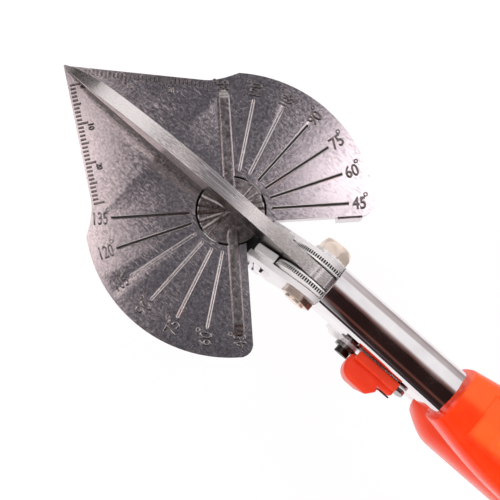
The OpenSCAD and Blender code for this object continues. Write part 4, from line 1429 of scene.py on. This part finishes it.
@dataclass
class Latch:
    """The side latch: red thumb lever, steel leaf, hook plate, screw and rivets."""

    top_round: float = 1.1
    base_round: float = 1.4
    round_most: float = 0.9
    round_points: int = 8
    lever_radii: tuple[float, ...] = (0.9, 1.0, 3.3, 1.0, 0.7, 0.2, 0.9)
    tab_l: float = 6.2
    tab_hook: float = 2.1
    tab_rise: float = 0.7
    leg_w: float = 2.4
    toe: tuple[float, float] = (3.75, 4.5)
    brow: float = 1.65
    brow_z: tuple[float, float] = (5.2, 7.2)
    brow_x: tuple[float, float] = (4.5, 1.0)
    hood_rise: float = 2.4
    hood_gap: float = 0.3
    hood_w: tuple[float, float] = (1.15, 1.1)
    hood_edge: float = 0.4
    hood_lap: float = 2.0
    hood_ends: tuple[float, float] = (0.7, 1.0)

    def block(self, corners: list[tuple[float, float]], low: float, high: float) -> np.ndarray:
        """Raises a rounded outline into a block whose upper and lower edges are quarter rounds.

        Args:
            corners: the outline's corners in millimetres, counter-clockwise.
            low: height of the underside.
            high: height of the top.

        Returns:
            Rings of places in millimetres, from the underside up.
        """
        plan, normal = rounded(corners, self.lever_radii)
        turn = np.linspace(0, QUARTER_TURN, self.round_points)
        inset = np.concatenate([self.base_round * (1 - np.sin(turn)), self.top_round * (1 - np.cos(turn))])
        level = np.concatenate([low + self.base_round * (1 - np.cos(turn)),
                                high - self.top_round * (1 - np.sin(turn))])
        most = self.round_most * np.repeat(self.lever_radii, ARC_POINTS)
        rings = plan - normal * np.minimum(inset[:, None], most)[..., None]
        return places(rings[..., 0], rings[..., 1], level[:, None])

    def lever(self) -> Object:
        """Makes the thumb lever: a rounded block with a hooked thumb tab, a cut-away toe and a brow.

        The brow leans forward over the latch screw's head, above the height where the head ends.

        Returns:
            The lever as a piece.
        """
        low, high = span("latch_lever")
        inner = span("latch_hook")[1][1]
        leg = inner + self.leg_w
        tab = high[0] - self.tab_l
        corners = [(low[0], inner), (high[0], inner), (high[0], high[1]), (tab, high[1]),
                   (tab - self.tab_hook, leg + self.tab_rise), (tab, leg), (low[0], leg)]
        x, y, z = np.moveaxis(self.block(corners, low[2], high[2]), -1, 0)
        toe_l, toe_h = self.toe
        x = np.maximum(x, low[0] + toe_l * np.clip(1 - (z - low[2]) / toe_h, 0, 1))
        behind, ahead = (high[0] - before for before in self.brow_x)
        x = x + self.brow * step(z - low[2], *self.brow_z) * step(x, behind, ahead)
        return formed("thumb_lever", places(x, y, z), ends=True)

    def hood(self) -> Object:
        """Makes the lever's hood: an L section along its inner edge that roofs the hook and the catch pin.

        Returns:
            The hood as a piece.
        """
        low, high = span("latch_lever")
        inner = span("latch_hook")[1][1]
        under = span("catch_pin")[1][2] + self.hood_gap
        top = high[2] + self.hood_rise
        lap = high[2] - self.hood_lap
        near = inner - self.hood_w[0]
        far = inner + self.hood_w[1]
        y = np.array([near, inner, inner, far, far, near])
        z = np.array([under, under, lap, lap, top, top])
        x = np.array([[low[0] + self.hood_ends[0]], [high[0] + self.hood_ends[1]]])
        return bevelled(formed("latch_hood", places(x, y, z), ends=True), self.hood_edge, segments=3)

    def build(self) -> None:
        """Dresses the latch."""
        settle(self.lever(), Body.LATCH, Slot.LATCH, LEVER_FINISH, "latch_lever")
        settle(self.hood(), Body.LATCH, Slot.LATCH, LEVER_FINISH)
        paint(CHROME_FINISH, "latch_leaf")
        paint(BLACK_STEEL, "latch_screw")
        paint(WIRE_FINISH, "latch_hook")
        paint(DULL_ZINC, "latch_rivets")


@dataclass
class ReturnSpring:
    """The coil spring between the arms, one wire from end to end."""

    back: float = 58.0
    coil_r: float = 1.95
    wire: float = 0.8
    turns: int = 10
    turn_points: int = 40
    wire_points: int = 14
    coil_start: float = 1.6
    end_l: float = 1.2
    end_points: int = 4

    def path(self) -> np.ndarray:
        """Runs up the ends and round the turns: a helix about its own axis, whose ends stand upright.

        Returns:
            The wire's middle line, in millimetres.
        """
        low, high = (corner[2] for corner in span("return_spring"))
        turn = np.linspace(0, 2 * np.pi * self.turns, self.turn_points * self.turns)
        rise = np.linspace(low + self.coil_start, high - self.coil_start, len(turn))
        end = np.linspace(0, self.end_l, self.end_points)
        turn = np.pad(turn, self.end_points)
        rise = np.concatenate([low + end, rise, high - end[::-1]])
        return places(self.coil_r * np.cos(turn), self.coil_r * np.sin(turn), rise)

    def build(self) -> None:
        """Carries a round section along the path and lets it stand for the spring's solid."""
        path = self.path()
        ahead = np.gradient(path, axis=0)
        ahead /= np.linalg.norm(ahead, axis=1, keepdims=True)
        out = path * [1, 1, 0]
        out -= ahead * (out * ahead).sum(1, keepdims=True)
        out /= np.linalg.norm(out, axis=1, keepdims=True)
        side = np.cross(ahead, out)
        turn = around(self.wire_points)[:, None]
        tube = path[:, None] + self.wire / 2 * (np.cos(turn) * out[:, None] + np.sin(turn) * side[:, None])
        piece = formed("coil_spring", tube + [-self.back, 0, 0], ends=True)
        settle(piece, Body.ANVIL, Slot.PLAIN, WIRE_FINISH, "return_spring")


@dataclass(frozen=True)
class Card:
    """A soft light card that faces the floor: its place, size and turn in plan, and its brightness."""

    name: str
    place: tuple[float, float, float]
    size: tuple[float, float]
    turn: float
    level: float
    colour: str


@dataclass
class Studio:
    """The white floor, the pale room, the light cards and the camera."""

    floor_half: float = 900.0
    floor_z: float = -92.0
    floor_glow: float = 1.04
    floor_share: float = 0.45
    paper: str = "#F6F3F4"
    eye: tuple[float, float, float] = (-18.56, 21.52, 164.14)
    aim: tuple[float, float, float] = (-9.6, 4.16, 24.0)
    heading: float = -48.9
    lens: float = 43.2
    sensor: float = 36.0
    nearest: float = 0.01
    room_level: float = 1.1
    wall: str = "#FAF6F7"
    ceiling: str = "#58585E"
    ceiling_z: tuple[float, float] = (0.7, 0.86)
    skirting: str = "#3C3636"
    skirting_z: tuple[float, float] = (0.36, 0.24)
    skirting_y: tuple[float, float] = (-0.85, -0.45)
    skirting_right: float = 0.22
    rear_x: tuple[float, float] = (-0.12, -0.28)
    rear_end: tuple[float, float] = (-0.8, -0.62)
    rear: tuple[tuple[float, str], ...] = (
        (-0.70, "#C6BCBB"), (-0.62, "#FFFFFF"), (-0.22, "#FFFFFF"), (-0.17, "#8A6660"), (-0.12, "#2C1D1C"),
        (0.36, "#2C1D1C"), (0.5, "#6E453B"), (0.64, "#2C1D1C"), (0.86, "#3A2A2A"), (0.97, "#D2C6CC"))
    card_middle: float = 0.5
    card_fade: float = 0.3
    cards: tuple[Card, ...] = (
        Card("card_ahead", (0.456, 0.106, 1.02), (0.6, 0.44), -45.0, 2.2, "#FFF0EE"),
        Card("card_right", (-0.04, -0.43, 1.02), (0.32, 0.44), 0.0, 2.6, "#FFF4F8"),
        Card("card_pivot", (-0.1, -0.15, 1.02), (0.2, 0.16), 0.0, 1.6, "#FFF8F6"),
    )

    def mirrored(self, tree: NodeTree, path: Node) -> NodeSocket:
        """Gives 1 on rays that come by way of a mirror or through glass.

        Args:
            tree: the nodes of the floor or the room.
            path: their light path.

        Returns:
            The larger of the two kinds of ray.
        """
        kinds = {0: path.outputs["Is Glossy Ray"], 1: path.outputs["Is Transmission Ray"]}
        return add(tree, "Math", kinds, operation="MAXIMUM").outputs[0]

    def floor(self) -> None:
        """Lays a white floor that keeps a soft shadow."""
        reach = np.array([-self.floor_half, self.floor_half])
        piece = formed("studio_floor", places(reach[:, None], reach, self.floor_z), ring=False)
        paper = bpy.data.materials.new("white_paper")
        tree = emptied(paper)
        path = add(tree, "LightPath")
        seen = add(tree, "Math", {0: path.outputs["Is Camera Ray"], 1: self.mirrored(tree, path)},
                   operation="MAXIMUM")
        share = add(tree, "Math", {0: seen.outputs[0], 1: self.floor_share}, operation="MULTIPLY")
        matt = add(tree, "BsdfDiffuse", {"Color": linear(self.paper)})
        glow = add(tree, "Emission", {"Color": linear(WHITE), "Strength": self.floor_glow})
        both = add(tree, "MixShader", {0: share.outputs[0], 1: matt.outputs[0], 2: glow.outputs[0]})
        add(tree, "OutputMaterial", {"Surface": both.outputs[0]})
        piece.data.materials.append(paper)

    def stripes(self, tree: NodeTree, aside: NodeSocket) -> NodeSocket:
        """Colours the room behind the mirrors in stripes from right to left.

        Args:
            tree: the room's nodes.
            aside: the direction's share to the left, from -1 to 1.

        Returns:
            The stripes' colour.
        """
        across = add(tree, "MapRange", {"Value": aside, "From Min": -1.0, "From Max": 1.0})
        ramp = add(tree, "ValToRGB", {0: across.outputs[0]})
        stops = ramp.color_ramp.elements
        for place, colour in self.rear[1:-1]:
            stops.new((place + 1) / 2).color = linear(colour)
        for end, (place, colour) in ((0, self.rear[0]), (len(stops) - 1, self.rear[-1])):
            stops[end].position = (place + 1) / 2
            stops[end].color = linear(colour)
        return ramp.outputs[0]

    def room(self) -> None:
        """Fills the room: even for matt surfaces, white behind the object, banded in mirrors.

        A mirror that looks up sees a dim ceiling above pale walls with a dark strip low on them, and one
        that leans back sees stripes from left to right, as the chrome of the arm shows them.
        """
        world = bpy.data.worlds.new("studio_room")
        bpy.context.scene.world = world
        world.cycles.sampling_method = "NONE"
        tree = emptied(world)
        path = add(tree, "LightPath")
        toward = add(tree, "SeparateXYZ", {0: add(tree, "TexCoord").outputs["Generated"]}).outputs
        lift = add(tree, "MapRange", {"Value": toward["Z"], "From Min": self.ceiling_z[0],
                                      "From Max": self.ceiling_z[1]}, interpolation_type="SMOOTHSTEP")
        front = add(tree, "Mix", {0: lift.outputs[0], 6: linear(self.wall), 7: linear(self.ceiling)},
                    data_type="RGBA")
        behind = add(tree, "MapRange", {"Value": toward["X"], "From Min": self.rear_x[0],
                                        "From Max": self.rear_x[1]})
        above = add(tree, "MapRange", {"Value": toward["X"], "From Min": self.rear_end[0],
                                       "From Max": self.rear_end[1]})
        striped = add(tree, "Math", {0: behind.outputs[0], 1: above.outputs[0]}, operation="MULTIPLY")
        mirror = add(tree, "Mix", {0: striped.outputs[0], 6: front.outputs[2],
                                   7: self.stripes(tree, toward["Y"])}, data_type="RGBA")
        low = add(tree, "MapRange", {"Value": toward["Z"], "From Min": self.skirting_z[0],
                                     "From Max": self.skirting_z[1]}, interpolation_type="SMOOTHSTEP")
        left = add(tree, "MapRange", {"Value": toward["Y"], "From Min": self.skirting_y[0],
                                      "From Max": self.skirting_y[1], "To Min": self.skirting_right})
        dark = add(tree, "Math", {0: low.outputs[0], 1: left.outputs[0]}, operation="MULTIPLY")
        lined = add(tree, "Mix", {0: dark.outputs[0], 6: mirror.outputs[2], 7: linear(self.skirting)},
                    data_type="RGBA")
        even = (self.room_level, self.room_level, self.room_level, 1.0)
        lit = add(tree, "Mix", {0: self.mirrored(tree, path), 6: even, 7: lined.outputs[2]}, data_type="RGBA")
        seen = add(tree, "Mix", {0: path.outputs["Is Camera Ray"], 6: lit.outputs[2], 7: linear(WHITE)},
                   data_type="RGBA")
        back = add(tree, "Background", {"Color": seen.outputs[2], "Strength": 1.0})
        add(tree, "OutputWorld", {"Surface": back.outputs[0]})

    def lights(self) -> None:
        """Hangs the light cards level above the object, bright in the middle and fading to their edges."""
        middle = (self.card_middle, self.card_middle, 0.0)
        for card in self.cards:
            lamp = bpy.data.lights.new(card.name, "AREA")
            lamp.shape = "RECTANGLE"
            lamp.size, lamp.size_y = card.size
            lamp.energy = card.level * np.pi * card.size[0] * card.size[1]
            lamp.color = linear(card.colour)[:3]
            tree = emptied(lamp)
            place = add(tree, "NewGeometry").outputs["Parametric"]
            from_middle = add(tree, "VectorMath", {0: place, 1: middle}, operation="SUBTRACT")
            off = add(tree, "VectorMath", {0: from_middle.outputs[0]}, operation="ABSOLUTE")
            parts = add(tree, "SeparateXYZ", {0: off.outputs[0]}).outputs
            fades = {}
            for number, axis in enumerate("XY"):
                fade = add(tree, "MapRange", {"Value": parts[axis], "From Min": self.card_middle,
                                              "From Max": self.card_middle - self.card_fade},
                           interpolation_type="SMOOTHSTEP")
                fades[number] = fade.outputs[0]
            glow = add(tree, "Math", fades, operation="MULTIPLY")
            shine = add(tree, "Emission", {"Strength": glow.outputs[0]})
            add(tree, "OutputLight", {"Surface": shine.outputs[0]})
            holder = link(lamp, card.name)
            holder.location = card.place
            holder.rotation_euler = (0, 0, radians(card.turn))

    def camera(self) -> None:
        """Sets the camera over the plate, with the plan heading upward in the picture."""
        eye = Vector(self.eye) * MM
        back = (eye - Vector(self.aim) * MM).normalized()
        up = Vector((cos(radians(self.heading)), sin(radians(self.heading)), 0))
        right = up.cross(back).normalized()
        lens = bpy.data.cameras.new("camera")
        lens.lens = self.lens
        lens.sensor_width = self.sensor
        lens.clip_start = self.nearest
        holder = link(lens, "camera")
        turn = Matrix((right, back.cross(right), back)).transposed().to_4x4()
        holder.matrix_world = Matrix.Translation(eye) @ turn
        bpy.context.scene.camera = holder

    def build(self) -> None:
        """Sets up the studio."""
        bpy.context.scene.view_settings.view_transform = "Standard"
        self.camera()
        self.floor()
        self.room()
        self.lights()


def main() -> None:
    """Builds the sub-assemblies in order."""
    logging.basicConfig(level=logging.INFO)
    Studio().build()
    AnglePlate().build()
    Turntable().build()
    BladeUnit().build()
    PivotGroup().build()
    Arms().build()
    Grips().build()
    Latch().build()
    ReturnSpring().build()


if __name__ == "__main__":
    main()
